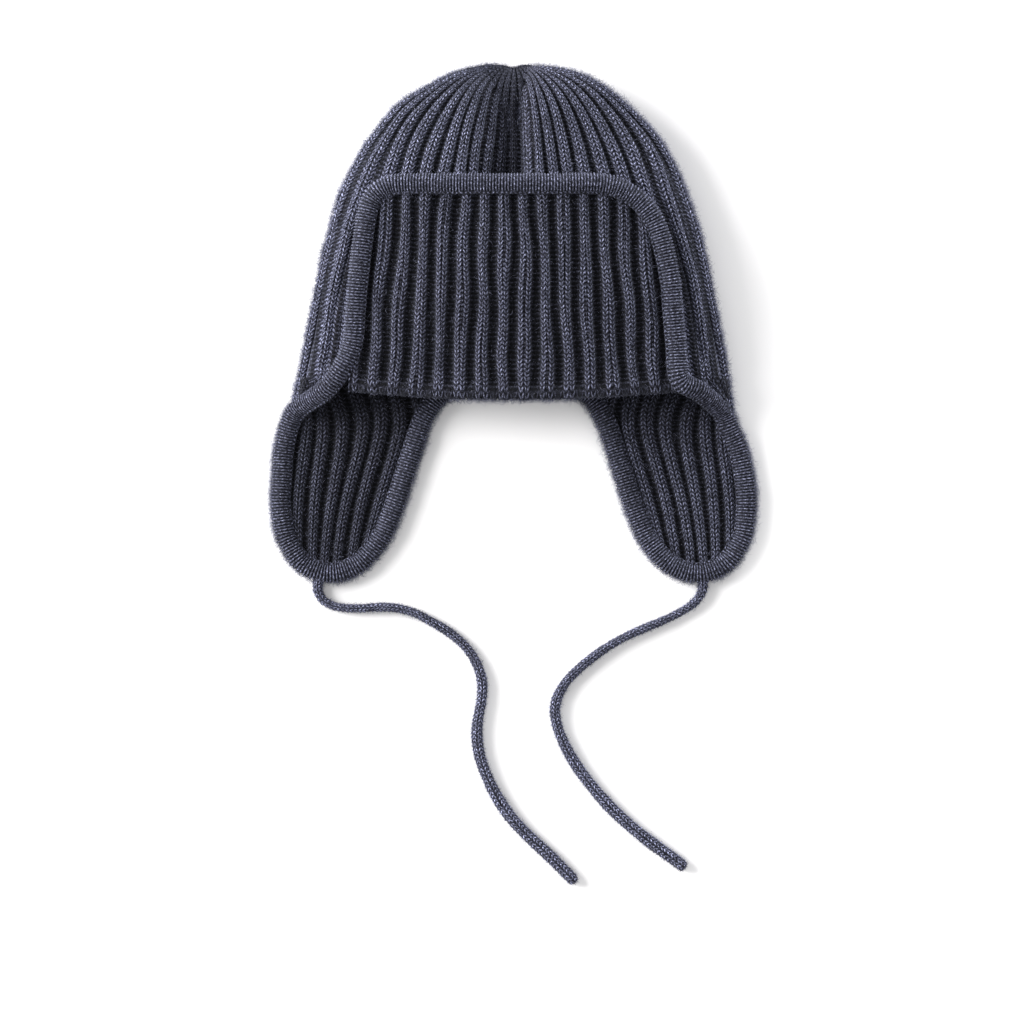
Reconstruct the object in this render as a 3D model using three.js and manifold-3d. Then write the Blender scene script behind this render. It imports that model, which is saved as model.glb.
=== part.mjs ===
// A child's knitted aviator hat, lying on its back: a ribbed crown open at the rim, a front peak turned up
// over it, two ear flaps spread out flat, a knitted binding that runs round every free edge, and two ties.
// Millimetres, +Z up from the surface that the hat lies on, +Y towards the top of the crown. The origin is
// under the middle of the hat without its ties.
import * as THREE from "three";
import Module from "manifold-3d";

const wasm = await Module();
wasm.setup();

// Crown: sizes outside the ribs
const CROWN_HALF_WIDTH = 99.2;
const CROWN_HEIGHT = 143.7; // rim to apex
const CROWN_DEPTH = 31; // off the surface, where it is fullest
const APEX_LIFT = 9; // height of the gathered apex off the surface
const SIDE_WIDTH = 14; // how far in from the side the fabric turns over

// Fabric: a two-by-two rib
const FABRIC = 4.6; // crest to crest
const RIB_DEPTH = 1.5;
const CROWN_RIBS = 42;

// Peak, measured to the middle of its binding
const PEAK_HALF_WIDTH = 75.5;
const PEAK_HEIGHT = 97.5; // fold to top edge
const PEAK_CORNER_LEFT = 15; // radius
const PEAK_CORNER_RIGHT = 30; // radius
const FOLD_DROP = 5; // how far the fabric runs on past the rim before it turns up, at the middle

// Ear flaps, measured to the middle of their binding
const FLAP_HALF_WIDTH = 30.3;
const FLAP_LENGTH = 89.1;
const FLAP_CENTRE = 63.8; // from the hat's middle, at the rim
const FLAP_LEAN = 20.2; // how far the tip stands further out
const PEAK_HALF_RIBS = 8.5; // ribs from the front middle to the flap
const FLAP_RIBS = 9;

// Binding and ties
const BINDING_WIDTH = 8;
const BINDING_THICKNESS = 6.6;
const NAPE_FILLET = 19;
const TIE_DIAMETER = 5.2;

const CLEARANCE = 0.3; // between pieces that touch
const LAYER_GAP = 0.5; // between the turned-up peak and the crown

// Forms, as shares
const CROWN_TAPER = 0.25;
const DOME_POWER = 4.45; // how square the crown's outline is
const CLOSE_POWER = 12; // how late the crown's depth closes
const LIFT_FROM = 0.6; // share of the height where the back leaves the surface
const SIDE_SHARE = 0.34; // of the depth: where the crown is widest
const BACK_BOW = 0.1; // of a wall: how much the inside of the back bows up
const SHOULDER_SHARE = 0.3; // of the depth: the turn above it, and the dome is the rest
const PEAK_TAPER = 0.12;
const FOLD_BOW = 0.8; // how much of its drop the fold has lost at the peak's sides
const FLAP_TAPER = 0.15;
const FLAP_POWER = 5.5;
const FLAP_BEND = 0.78; // how much of its lean the flap takes early
const RIB_CLOSING = 0.42; // how far the flap's ribs draw together
const ROLL_SHARE = 0.167; // of the flap: where the rim's tube has flattened out
const ROLL_POWER = 1.6;

// How full the crown is from the rim up: shares of its height and of its depth
const FULLNESS = [
  { rise: 0, depth: 0.86 },
  { rise: 0.35, depth: 1 },
  { rise: 0.7, depth: 0.98 },
  { rise: 1, depth: 0.86 },
];

// The crease that runs down the front from the gathered apex, steep on its right
const CREASE = { depth: 6, x: -1.5, left: 15, right: 6, from: 0.6, full: 0.92 };

// Where the binding's path is fixed: shares down the flap's two edges and up the peak's side, and turns in
// degrees round the flap's tip and the peak's corner
const STOPS = {
  inner: [0.2, 0.35, 0.5, 0.65, 0.78],
  tip: [35, 58, 78],
  outer: [0.78, 0.65, 0.5, 0.35, 0.25, 0.17],
  side: [0.2, 0.37, 0.52],
  corner: [25, 50, 72, 90],
};

// A rib across its pitch: a level crest, and a level valley half a pitch away
const CREST_HALF = 0.22;
const VALLEY_HALF = 0.1;

const HAT_LENGTH = CROWN_HEIGHT + CLEARANCE + FLAP_LENGTH + BINDING_WIDTH / 2;
const RIM_Y = HAT_LENGTH / 2 - CROWN_HEIGHT;
const FLAP_Y = RIM_Y - CLEARANCE;
const FLOOR_MIDDLE = BINDING_THICKNESS / 2;

const { sin, cos, PI } = Math;
const clamp = (value, low = 0, high = 1) => Math.min(high, Math.max(low, value));
const smooth = (t) => clamp(t) ** 2 * (3 - 2 * clamp(t));
const closing = (share, power) => Math.sqrt(1 - clamp(share) ** power);

// Crown sections

// A column of a table at a share, eased between the table's rows
function lookUp(table, column, rise) {
  const next = Math.max(1, table.findIndex((row) => row.rise >= rise));
  const [a, b] = [table[next - 1], table[next]];
  return a[column] + (b[column] - a[column]) * smooth((rise - a.rise) / (b.rise - a.rise));
}

// The crown across its height at a share of it. The cavity is the same form, one wall further in.
function sectionAt(rise, inset = 0) {
  const closed = closing(rise, CLOSE_POWER);
  const depth = (CROWN_DEPTH * lookUp(FULLNESS, "depth", clamp(rise)) - 2 * inset) * closed;
  const halfWidth = (CROWN_HALF_WIDTH - inset) * (1 - CROWN_TAPER * rise) * closing(rise, DOME_POWER);
  const low = inset + (APEX_LIFT - inset) * smooth((rise - LIFT_FROM) / (1 - LIFT_FROM)) ** 2;
  return {
    halfWidth,
    reach: Math.min(SIDE_WIDTH - inset / 2, halfWidth / 2),
    low,
    bow: BACK_BOW * inset,
    side: low + SIDE_SHARE * depth,
    shoulder: SHOULDER_SHARE * depth,
    dome: (1 - SIDE_SHARE - SHOULDER_SHARE) * depth,
  };
}

const domeOf = (section, x) => section.dome * (1 - clamp(x / (section.halfWidth || 1), -1, 1) ** 2);

// One section's outline from the front middle round by +X, as closed points of x and z
function outlineOf(section, turns = 12, flats = 16) {
  const { halfWidth, reach, low, bow, side, shoulder } = section;
  const inner = halfWidth - reach;
  const half = [];
  for (let i = 0; i < flats; i++) {
    const x = (inner * i) / flats;
    half.push([x, side + shoulder + domeOf(section, x)]);
  }
  for (let i = turns; i > -turns; i--) {
    const turn = (PI / 2) * (i / turns);
    const x = inner + reach * cos(turn);
    half.push([x, i > 0 ? side + shoulder * sin(turn) + domeOf(section, x) : side + (side - low) * sin(turn)]);
  }
  for (let i = 0; i <= flats; i++) half.push([inner * (1 - i / flats), low + bow * (1 - (1 - i / flats) ** 2)]);
  return half.concat(half.slice(1, -1).reverse().map(([x, z]) => [-x, z]));
}

// The outline's length, and its point and outward direction at any distance from the front middle
function tracer(outline) {
  const sums = [0];
  outline.forEach(([x, z], i) => {
    const [nx, nz] = outline[(i + 1) % outline.length];
    sums.push(sums[i] + Math.hypot(nx - x, nz - z));
  });
  const length = sums[outline.length];
  return {
    length,
    at(distance) {
      const d = ((distance % length) + length) % length;
      const i = Math.min(outline.length, sums.findIndex((sum) => sum > d)) - 1;
      const [a, b] = [outline[i], outline[(i + 1) % outline.length]];
      const step = sums[i + 1] - sums[i] || 1;
      const t = (d - sums[i]) / step;
      return {
        x: a[0] + (b[0] - a[0]) * t,
        z: a[1] + (b[1] - a[1]) * t,
        outX: (a[1] - b[1]) / step,
        outZ: (b[0] - a[0]) / step,
      };
    },
  };
}

const rim = tracer(outlineOf(sectionAt(0)));
const RIB_PITCH = rim.length / CROWN_RIBS;

// 1 on a rib's crest, 0 in the valley, with crests at whole numbers of ribs
function crestAt(rib) {
  const off = Math.abs(rib - Math.round(rib));
  return clamp((0.5 - VALLEY_HALF - off) / (0.5 - VALLEY_HALF - CREST_HALF));
}

// Where the columns of a ribbed mesh stand between two ribs, so that each crest and valley is level
function ribColumns(from, to) {
  const columns = [from];
  for (let rib = Math.floor(from); rib <= to + 1; rib++)
    for (const off of [-CREST_HALF, CREST_HALF, 0.5 - VALLEY_HALF, 0.5 + VALLEY_HALF])
      if (rib + off > from + CREST_HALF / 2 && rib + off < to - CREST_HALF / 2) columns.push(rib + off);
  return [...columns, to];
}

function creaseDepth(x, y) {
  const rise = (y - RIM_Y) / CROWN_HEIGHT;
  const across = (x - CREASE.x) / (x < CREASE.x ? CREASE.left : CREASE.right);
  return CREASE.depth * smooth((rise - CREASE.from) / (CREASE.full - CREASE.from)) * Math.exp(-across * across);
}

// Height of the crown's front crests over a place on the surface
function frontHeight(x, y) {
  const section = sectionAt(clamp((y - RIM_Y) / CROWN_HEIGHT, 0, 0.999));
  const past = clamp((Math.abs(x) - section.halfWidth + section.reach) / section.reach);
  return section.side + section.shoulder * closing(past, 2) + domeOf(section, x) - creaseDepth(x, y);
}

// Meshes from rings and grids of points

function geometryOf(points, faces) {
  const geometry = new THREE.BufferGeometry();
  geometry.setAttribute("position", new THREE.Float32BufferAttribute(points.flat(), 3));
  geometry.setIndex(faces.flat());
  return geometry;
}

function bridge(faces, ringA, ringB, closed) {
  const last = closed ? ringA.length : ringA.length - 1;
  for (let i = 0; i < last; i++) {
    const j = (i + 1) % ringA.length;
    faces.push([ringA[i], ringA[j], ringB[j]], [ringA[i], ringB[j], ringB[i]]);
  }
}

// Triangles between two closed rings that have different numbers of points
function zip(faces, ringA, ringB) {
  let [i, j] = [0, 0];
  while (i < ringA.length || j < ringB.length) {
    const [a, b] = [ringA[i % ringA.length], ringB[j % ringB.length]];
    if ((i + 1) * ringB.length <= (j + 1) * ringA.length) faces.push([a, ringA[++i % ringA.length], b]);
    else faces.push([a, ringB[++j % ringB.length], b]);
  }
}

// A hollow cup: rings of its outside and of its inside, each from the mouth to a point near its top
function cup(outside, inside, height) {
  const points = [...outside.flat(), ...inside.flat()];
  const faces = [];
  let next = 0;
  const number = (rings) => rings.map((ring) => ring.map(() => next++));
  const [outer, inner] = [number(outside), number(inside)];
  for (let r = 0; r + 1 < outer.length; r++) bridge(faces, outer[r], outer[r + 1], true);
  for (let r = 0; r + 1 < inner.length; r++) bridge(faces, inner[r + 1], inner[r], true);
  zip(faces, inner[0], outer[0]);
  for (const [ring, ids, turn] of [[outside.at(-1), outer.at(-1), false], [inside.at(-1), inner.at(-1), true]]) {
    const middle = ring.reduce((sum, p) => sum.map((v, k) => v + p[k] / ring.length), [0, 0, 0]);
    const rise = (turn ? height - FABRIC : height) + RIM_Y;
    points.push([middle[0], rise, middle[2]]);
    ids.forEach((id, i) => {
      const other = ids[(i + 1) % ids.length];
      faces.push(turn ? [points.length - 1, other, id] : [points.length - 1, id, other]);
    });
  }
  return geometryOf(points, faces);
}

// Two grids of the same size, one over the other, joined round their edges
function slab(over, under) {
  const [rows, columns] = [over.length, over[0].length];
  const id = (r, c, layer) => layer * rows * columns + r * columns + c;
  const line = (layer) => [...Array(rows).keys()].map((r) => [...Array(columns).keys()].map((c) => id(r, c, layer)));
  const [top, bottom] = [line(0), line(1)];
  const faces = [];
  for (let r = 0; r + 1 < rows; r++) {
    bridge(faces, top[r], top[r + 1], false);
    bridge(faces, bottom[r + 1], bottom[r], false);
  }
  const loop = (grid) => [
    ...grid[0],
    ...grid.slice(1, -1).map((row) => row[columns - 1]),
    ...[...grid[rows - 1]].reverse(),
    ...grid.slice(1, -1).reverse().map((row) => row[0]),
  ];
  bridge(faces, loop(bottom), loop(top), true);
  return geometryOf([...over.flat(), ...under.flat()], faces);
}

// Solids

function solidOf(geometry) {
  const made = new wasm.Manifold(
    new wasm.Mesh({
      numProp: 3,
      vertProperties: geometry.getAttribute("position").array,
      triVerts: new Uint32Array(geometry.index.array),
    }),
  );
  if (made.volume() > 0) return made;
  const index = geometry.index.array;
  for (let i = 0; i < index.length; i += 3) [index[i], index[i + 1]] = [index[i + 1], index[i]];
  return solidOf(geometry);
}

function geometryFrom(solid) {
  const mesh = solid.getMesh();
  const geometry = new THREE.BufferGeometry();
  geometry.setAttribute("position", new THREE.BufferAttribute(mesh.vertProperties, 3));
  geometry.setIndex(new THREE.BufferAttribute(mesh.triVerts, 1));
  return geometry;
}

// What is left of a piece beside the binding, without the slivers past it
function trimmed(piece, cutter) {
  const pieces = piece.subtract(cutter).decompose();
  return pieces.reduce((best, other) => (other.volume() > best.volume() ? other : best));
}

// Crown: ribbed outside, with a plain cavity that is open at the rim
function crownRings(inset, rises, columns) {
  return rises.map((rise) => {
    const section = sectionAt(rise, inset);
    const trace = tracer(outlineOf(section));
    const y = RIM_Y + rise * (CROWN_HEIGHT - inset);
    const relief = inset ? 0 : RIB_DEPTH * clamp((1.3 * trace.length) / rim.length);
    return columns.map((rib) => {
      const p = trace.at((rib / CROWN_RIBS) * trace.length);
      const out = relief * (crestAt(rib) - 1);
      const z = p.z + p.outZ * out;
      const front = clamp((z - section.side) / (section.shoulder + section.dome));
      return [p.x + p.outX * out, y, z - front * creaseDepth(p.x, y)];
    });
  });
}

function crownSolid(cutter) {
  const outer = ribColumns(-CREST_HALF, CROWN_RIBS - CREST_HALF).slice(0, -1);
  const inner = [...Array(CROWN_RIBS).keys()];
  const outside = crownRings(0, [0, 0.26, 0.48, 0.66, 0.8, 0.9, 0.96, 0.993], outer);
  const inside = crownRings(FABRIC, [0, 0.35, 0.6, 0.78, 0.9, 0.97], inner);
  return trimmed(solidOf(cup(outside, inside, CROWN_HEIGHT)), cutter);
}

// Peak: the fabric runs past the rim, turns up round the fold and lies on the crown's front
const foldAt = (x) => FLAP_Y - FOLD_DROP * (1 - FOLD_BOW * (x / PEAK_HALF_WIDTH) ** 2);
const peakShare = (y) => (y - foldAt(0)) / PEAK_HEIGHT;
const PEAK_TOP = foldAt(0) - FABRIC - LAYER_GAP / 2 + PEAK_HEIGHT;
const peakHalf = (y) => PEAK_HALF_WIDTH * (1 - PEAK_TAPER * clamp(peakShare(y)));

// Where a column of the peak that stands at x meets the middle of the binding
function peakEnd(x) {
  const corner = x < 0 ? PEAK_CORNER_LEFT : PEAK_CORNER_RIGHT;
  const past = clamp((Math.abs(x) - peakHalf(PEAK_TOP) + corner) / corner);
  return PEAK_TOP - corner * (1 - closing(past, 2));
}

function peakSolid(cutter) {
  const span = 0.995 * PEAK_HALF_WIDTH;
  let reach = 0;
  while (rim.at((reach + 0.02) * RIB_PITCH).x < span) reach += 0.02;
  const columns = ribColumns(-reach, reach);
  const turn = (FABRIC + LAYER_GAP) / 2;
  const [rows, turns] = [3, 3];
  const path = columns.map((rib) => {
    const x0 = rim.at(rib * RIB_PITCH).x;
    const z0 = frontHeight(x0, RIM_Y);
    const foldY = foldAt(x0);
    const steps = [{ y: FLAP_Y, z: z0 - FABRIC / 2, out: [0, -1] }];
    for (let i = 0; i <= turns; i++) {
      const angle = -PI / 2 + (PI * i) / turns;
      const out = [-cos(angle), sin(angle)];
      steps.push({ y: foldY + turn * out[0], z: z0 + LAYER_GAP / 2 + turn * out[1], out });
    }
    const end = peakEnd(x0 * (1 - PEAK_TAPER));
    for (let i = 1; i <= rows; i++) steps.push({ y: foldY + ((end - foldY) * i) / rows, out: [0, 1] });
    return steps.map(({ y, z, out }) => {
      const x = x0 * (1 - PEAK_TAPER * clamp(peakShare(y)));
      return { x, y, z: z ?? frontHeight(x, y) + LAYER_GAP + FABRIC / 2, out, crest: crestAt(rib + 0.5) };
    });
  });
  const grid = (face) =>
    path[0].map((_, r) =>
      path.map((column) => {
        const { x, y, z, out, crest } = column[r];
        const off = face > 0 ? FABRIC / 2 - RIB_DEPTH * (1 - crest) : -(FABRIC / 2 - RIB_DEPTH * crest);
        return [x, y + out[0] * off, z + out[1] * off];
      }),
    );
  return trimmed(solidOf(slab(grid(1), grid(-1))), cutter);
}

// Ear flaps: the rim's tube flattens out onto the surface. s runs from the outer edge to the inner one.
const flapY = (down) => FLAP_Y - FLAP_LENGTH * down;
const flapMiddle = (down) => FLAP_CENTRE + FLAP_LEAN * down * (1 + FLAP_BEND - FLAP_BEND * down);
const flapRibHalf = (down) => ((FLAP_RIBS * RIB_PITCH) / 2) * (1 - RIB_CLOSING * down);
const flapHalf = (down) => FLAP_HALF_WIDTH * (1 - FLAP_TAPER * down) * closing(down, FLAP_POWER);
const rollOff = (down) => Math.exp(-((down / ROLL_SHARE) ** ROLL_POWER));

function rimMiddle(rib) {
  const p = rim.at(rib * RIB_PITCH);
  return { x: p.x - (p.outX * FABRIC) / 2, z: p.z - (p.outZ * FABRIC) / 2 };
}

function flapPoint(s, down) {
  const start = rimMiddle(PEAK_HALF_RIBS + s * FLAP_RIBS);
  const flat = flapMiddle(down) + (1 - 2 * s) * flapRibHalf(down);
  const first = flapMiddle(0) + (1 - 2 * s) * flapRibHalf(0);
  const roll = rollOff(down);
  return new THREE.Vector3(flat + roll * (start.x - first), flapY(down), FLOOR_MIDDLE + roll * (start.z - FLOOR_MIDDLE));
}

// Where the middle of the binding crosses the flap, on its outer edge (+1) or its inner edge (-1)
const edgeShare = (down, edge) => 0.5 - (edge * flapHalf(down)) / (2 * flapRibHalf(down));
const edgePoint = (down, edge) => flapPoint(edgeShare(down, edge), down);

const innerX = (down) => flapMiddle(down) - flapHalf(down);

// How far down the flap a rib runs before it meets the middle of the binding
function flapEnd(s) {
  const nape = BINDING_WIDTH / 2 / FLAP_LENGTH;
  const past = (down) => (1 - 2 * s) * flapRibHalf(down) > flapHalf(down) || flapPoint(s, down).x < innerX(down);
  let down = 1;
  while (down > nape && past(down)) down -= 0.004;
  return down;
}

function flapSolid(cutter, mirror) {
  const first = PEAK_HALF_RIBS + edgeShare(0.35, 1) * FLAP_RIBS;
  const columns = ribColumns(first, PEAK_HALF_RIBS + FLAP_RIBS + 1);
  const shares = [0, 0.09, 0.19, 0.35, 0.65, 1];
  const grid = (face) =>
    shares.map((share) =>
      columns.map((rib) => {
        const s = (rib - PEAK_HALF_RIBS) / FLAP_RIBS;
        const down = share * flapEnd(s);
        const p = flapPoint(s, down);
        const along = flapPoint(s, down + 0.01).sub(p);
        const across = flapPoint(s + 0.01, down).sub(p);
        const out = new THREE.Vector3().crossVectors(along, across).normalize();
        if (share === 0) out.setY(0).normalize();
        const crest = crestAt(rib + 0.5);
        const off = face > 0 ? FABRIC / 2 - RIB_DEPTH * (1 - crest) : -(FABRIC / 2 - RIB_DEPTH * crest);
        p.addScaledVector(out, off);
        return [mirror * p.x, p.y, p.z];
      }),
    );
  return trimmed(solidOf(slab(grid(1), grid(-1))), cutter);
}

// Binding: one loop along the nape, round each flap, over the crown's side and round the peak
function bindingHalf(corner) {
  const lift = BINDING_THICKNESS / 2;
  const napeY = RIM_Y - CLEARANCE - BINDING_WIDTH / 2;
  const filletX = innerX(STOPS.inner[0]);
  const points = [
    [0, napeY, lift],
    [0.45 * (filletX - NAPE_FILLET / 2), napeY, lift],
    [filletX - 0.8 * NAPE_FILLET, napeY - 0.04 * NAPE_FILLET, lift],
    [filletX - 0.38 * NAPE_FILLET, napeY - 0.2 * NAPE_FILLET, lift],
  ].map((p) => new THREE.Vector3(...p));
  const tipShare = (turn) => sin((turn * PI) / 180) ** (2 / FLAP_POWER);
  for (const down of STOPS.inner) points.push(new THREE.Vector3(innerX(down), flapY(down), lift));
  for (const turn of [...STOPS.tip, 90]) points.push(edgePoint(tipShare(turn), -1));
  for (const turn of [...STOPS.tip].reverse()) points.push(edgePoint(tipShare(turn), 1));
  for (const down of STOPS.outer) points.push(edgePoint(down, 1));
  const under = (x, y) => Math.max(frontHeight(x - BINDING_WIDTH / 2, y), frontHeight(x, y - BINDING_WIDTH / 2));
  const over = (x, y) => new THREE.Vector3(x, y, under(x, y) + LAYER_GAP + lift);
  const notch = rim.at((PEAK_HALF_RIBS + 0.1) * RIB_PITCH);
  points.push(new THREE.Vector3(notch.x, RIM_Y - BINDING_WIDTH / 2, notch.z + lift / 2));
  points.push(over(0.5 * (notch.x + PEAK_HALF_WIDTH) - 1, RIM_Y + BINDING_WIDTH / 3));
  for (const share of STOPS.side) {
    const y = foldAt(0) + share * PEAK_HEIGHT;
    points.push(over(peakHalf(y), y));
  }
  const centre = peakHalf(PEAK_TOP) - corner;
  for (const turn of STOPS.corner) {
    const angle = (turn * PI) / 180;
    points.push(over(centre + corner * cos(angle), PEAK_TOP - corner * (1 - sin(angle))));
  }
  points.push(over(centre / 2, PEAK_TOP), over(0, PEAK_TOP));
  return points;
}

function bindingForm(grow, steps = 98, sides = 8) {
  const left = bindingHalf(PEAK_CORNER_LEFT).slice(1, -1).reverse();
  const loop = [...bindingHalf(PEAK_CORNER_RIGHT), ...left.map((p) => new THREE.Vector3(-p.x, p.y, p.z))];
  const path = new THREE.CatmullRomCurve3(loop, true, "centripetal");
  path.arcLengthDivisions = 2000;
  const up = new THREE.Vector3(0, 0, 1);
  const points = [];
  for (let i = 0; i < steps; i++) {
    const middle = path.getPointAt(i / steps);
    middle.z = Math.max(middle.z, BINDING_THICKNESS / 2);
    const along = path.getTangentAt(i / steps);
    const across = new THREE.Vector3().crossVectors(along, up).normalize();
    const out = new THREE.Vector3().crossVectors(across, along).normalize();
    for (let k = 0; k < sides; k++) {
      const turn = (2 * PI * (k + 0.5)) / sides;
      const round = 1 / cos(PI / sides);
      const p = middle.clone();
      p.addScaledVector(across, (BINDING_WIDTH / 2 + grow) * round * cos(turn));
      p.addScaledVector(out, (BINDING_THICKNESS / 2 + grow) * round * sin(turn));
      points.push([p.x, p.y, p.z]);
    }
  }
  const faces = [];
  const ring = (i) => [...Array(sides).keys()].map((k) => (i % steps) * sides + k);
  for (let i = 0; i < steps; i++) bridge(faces, ring(i), ring(i + 1), true);
  return geometryOf(points, faces);
}

// Ties: knitted cords from the flaps' tips, lying loose on the surface, as x and y along each
const LEFT_TIE = [
  [-89.7, -119], [-89.7, -122.5], [-87.4, -126.8], [-83.4, -129.2], [-77.6, -130.4], [-70.6, -130.6],
  [-64, -130.2], [-57.6, -130.1], [-51.2, -131], [-44.6, -133.2], [-37.6, -136.8], [-31.2, -140.6],
  [-25.8, -144.7], [-21.1, -149.5], [-17.6, -154.9], [-15.4, -160.6], [-14.5, -166.3], [-14.8, -172.4],
  [-15.9, -178.5], [-16.8, -184.3], [-16.9, -190], [-16.2, -195.7], [-14.6, -201.9], [-12.2, -208],
  [-9.3, -214.2], [-5.6, -220.5], [-1.4, -226.4], [3.6, -232], [9, -237.2], [14.6, -242.4], [20, -247.7],
  [25.4, -253.2], [28.2, -256.3],
];
const RIGHT_TIE = [
  [86.4, -119], [86.2, -122.5], [83.6, -127], [80, -130], [75, -133], [69, -135.9], [62, -138.8],
  [54.6, -142], [47.6, -145.5], [41, -149.5], [34.6, -154.2], [29.4, -158.6], [25, -163], [21.6, -167.8],
  [19.4, -172.9], [18.8, -178.4], [19.8, -184.4], [22, -190.4], [25, -196.6], [28.6, -202.6], [33, -208.8],
  [38, -215], [43.6, -221.2], [49.4, -226.8], [55.4, -232.1], [61.4, -236.9], [67.8, -241.6], [73.6, -245.8],
  [78.6, -249.6],
];

function tieGeometry(route) {
  const lift = TIE_DIAMETER / 2 + CLEARANCE / 3;
  const path = new THREE.CatmullRomCurve3(route.map(([x, y]) => new THREE.Vector3(x, y, lift)), false, "centripetal");
  const sides = 8;
  const outline = [...Array(sides).keys()].map((k) => {
    const turn = (2 * PI * (k + 0.5)) / sides;
    return new THREE.Vector2(cos(turn), sin(turn)).multiplyScalar(TIE_DIAMETER / 2);
  });
  const steps = Math.round(path.getLength() / (1.9 * TIE_DIAMETER));
  return new THREE.ExtrudeGeometry(new THREE.Shape(outline), { steps, extrudePath: path, bevelEnabled: false });
}

// The hat

const navy = { color: 0x3d4250, metalness: 0 };
const ribKnit = new THREE.MeshStandardMaterial({ ...navy, roughness: 0.95 });
const bindingKnit = new THREE.MeshStandardMaterial({ ...navy, color: 0x4a4f5e, roughness: 0.92 });
const tieKnit = new THREE.MeshStandardMaterial({ ...navy, color: 0x474c5b, roughness: 0.93 });

const hat = new THREE.Group();

function add(name, geometry, material) {
  const mesh = new THREE.Mesh(geometry, material);
  mesh.name = name;
  hat.add(mesh);
}

const cutter = solidOf(bindingForm(CLEARANCE));
add("crown", geometryFrom(crownSolid(cutter)), ribKnit);
add("peak", geometryFrom(peakSolid(cutter)), ribKnit);
add("ear_flap_left", geometryFrom(flapSolid(cutter, -1)), ribKnit);
add("ear_flap_right", geometryFrom(flapSolid(cutter, 1)), ribKnit);
add("edge_binding", geometryFrom(solidOf(bindingForm(0))), bindingKnit);
add("tie_left", tieGeometry(LEFT_TIE), tieKnit);
add("tie_right", tieGeometry(RIGHT_TIE), tieKnit);

export default hat;
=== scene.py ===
import math

import bpy
import numpy as np
from bpy.props import FloatProperty, FloatVectorProperty, IntProperty, PointerProperty
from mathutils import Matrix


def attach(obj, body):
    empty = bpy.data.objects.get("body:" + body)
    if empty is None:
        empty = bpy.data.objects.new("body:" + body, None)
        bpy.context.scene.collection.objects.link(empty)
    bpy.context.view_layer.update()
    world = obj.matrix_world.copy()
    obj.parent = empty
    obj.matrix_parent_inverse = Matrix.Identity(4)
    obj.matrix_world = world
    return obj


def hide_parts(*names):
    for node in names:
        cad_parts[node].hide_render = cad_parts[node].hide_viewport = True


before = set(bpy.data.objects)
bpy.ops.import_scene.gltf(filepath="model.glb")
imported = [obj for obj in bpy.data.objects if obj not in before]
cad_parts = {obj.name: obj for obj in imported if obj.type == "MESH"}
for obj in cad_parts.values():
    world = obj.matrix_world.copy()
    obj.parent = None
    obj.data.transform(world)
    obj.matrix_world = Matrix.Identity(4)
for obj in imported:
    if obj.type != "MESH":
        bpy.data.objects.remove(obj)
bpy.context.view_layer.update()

bl_info = {
    "name": "Knitted aviator hat",
    "version": (1, 0, 0),
    "blender": (4, 5, 0),
    "location": "View3D > Sidebar > Hat",
    "description": "Knits the crown, peak, ear flaps, binding and ties of an aviator hat over its solids",
    "category": "Add Mesh",
}

# The hat lies on its back: +Z up, +Y to the top of the crown. Lengths are in metres. The form is the same as
# that of the solids, but for the few values that are said to be the scene's own.

CROWN_HALF_WIDTH = 0.0992
CROWN_HEIGHT = 0.1437
CROWN_DEPTH = 0.031
APEX_LIFT = 0.009
SIDE_WIDTH = 0.014
FABRIC = 0.0046
CROWN_RIBS = 42

PEAK_HALF_WIDTH = 0.0755
PEAK_HEIGHT = 0.0975
PEAK_CORNERS = {-1: 0.015, 1: 0.030}
FOLD_DROP = 0.005

FLAP_HALF_WIDTH = 0.0303
FLAP_LENGTH = 0.0891
FLAP_CENTRE = 0.0638
FLAP_LEAN = 0.0202
PEAK_HALF_RIBS = 8.5
FLAP_RIBS = 9

BINDING_WIDTH = 0.008
BINDING_THICKNESS = 0.0066
NAPE_FILLET = 0.019
TIE_DIAMETER = 0.0052

CLEARANCE = 0.0003
LAYER_GAP = 0.0005
LOWEST = 0.0001

CROWN_TAPER = 0.25
DOME_POWER = 4.45
CLOSE_POWER = 12
LIFT_FROM = 0.6
SIDE_SHARE = 0.34
SHOULDER_SHARE = 0.3
PEAK_TAPER = 0.12
FOLD_BOW = 0.8
FLAP_TAPER = 0.15
FLAP_POWER = 5.5
FLAP_BEND = 0.78
RIB_CLOSING = 0.42
ROLL_SHARE = 0.167
ROLL_POWER = 1.6

# How full the crown is from the rim up: shares of its height, and of its depth
FULL_RISES = (0, 0.35, 0.7, 1)
FULL_DEPTHS = (0.86, 1, 0.98, 0.86)

# The crease that runs down the front from the gathered apex, steep on its right, and its deepening, which
# is the scene's own
CREASE = {"depth": 0.006, "x": -0.0015, "left": 0.015, "right": 0.006, "from": 0.6, "full": 0.92}
DEEPENING = {"depth": 0.0105, "x": 0.0018, "left": 0.0145, "right": 0.0045, "from": 0.4, "full": 0.66}

# Where the binding's path is fixed: shares down the flap's two edges and up the peak's side, and turns in
# degrees round the flap's tip and the peak's corner
STOPS = {
    "inner": (0.2, 0.35, 0.5, 0.65, 0.78),
    "tip": (35, 58, 78),
    "outer": (0.78, 0.65, 0.5, 0.35, 0.25, 0.17),
    "side": (0.2, 0.37, 0.52),
    "corner": (25, 50, 72, 90),
}

# The scene's own: how far the binding strays from its even path on each side of the hat, outwards and up, at
# the stops down the flap's outer edge, in the notch and over the peak's foot
STRAYS = {
    -1: {"outer": (0, 0.0005, 0.001, 0.0025, 0.0028, 0.0015), "notch": (0.0005, -0.001), "foot": (0, 0)},
    1: {"outer": (0, 0, 0, -0.0005, -0.002, -0.003), "notch": (-0.001, -0.002), "foot": (-0.0035, -0.004)},
}

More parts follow.
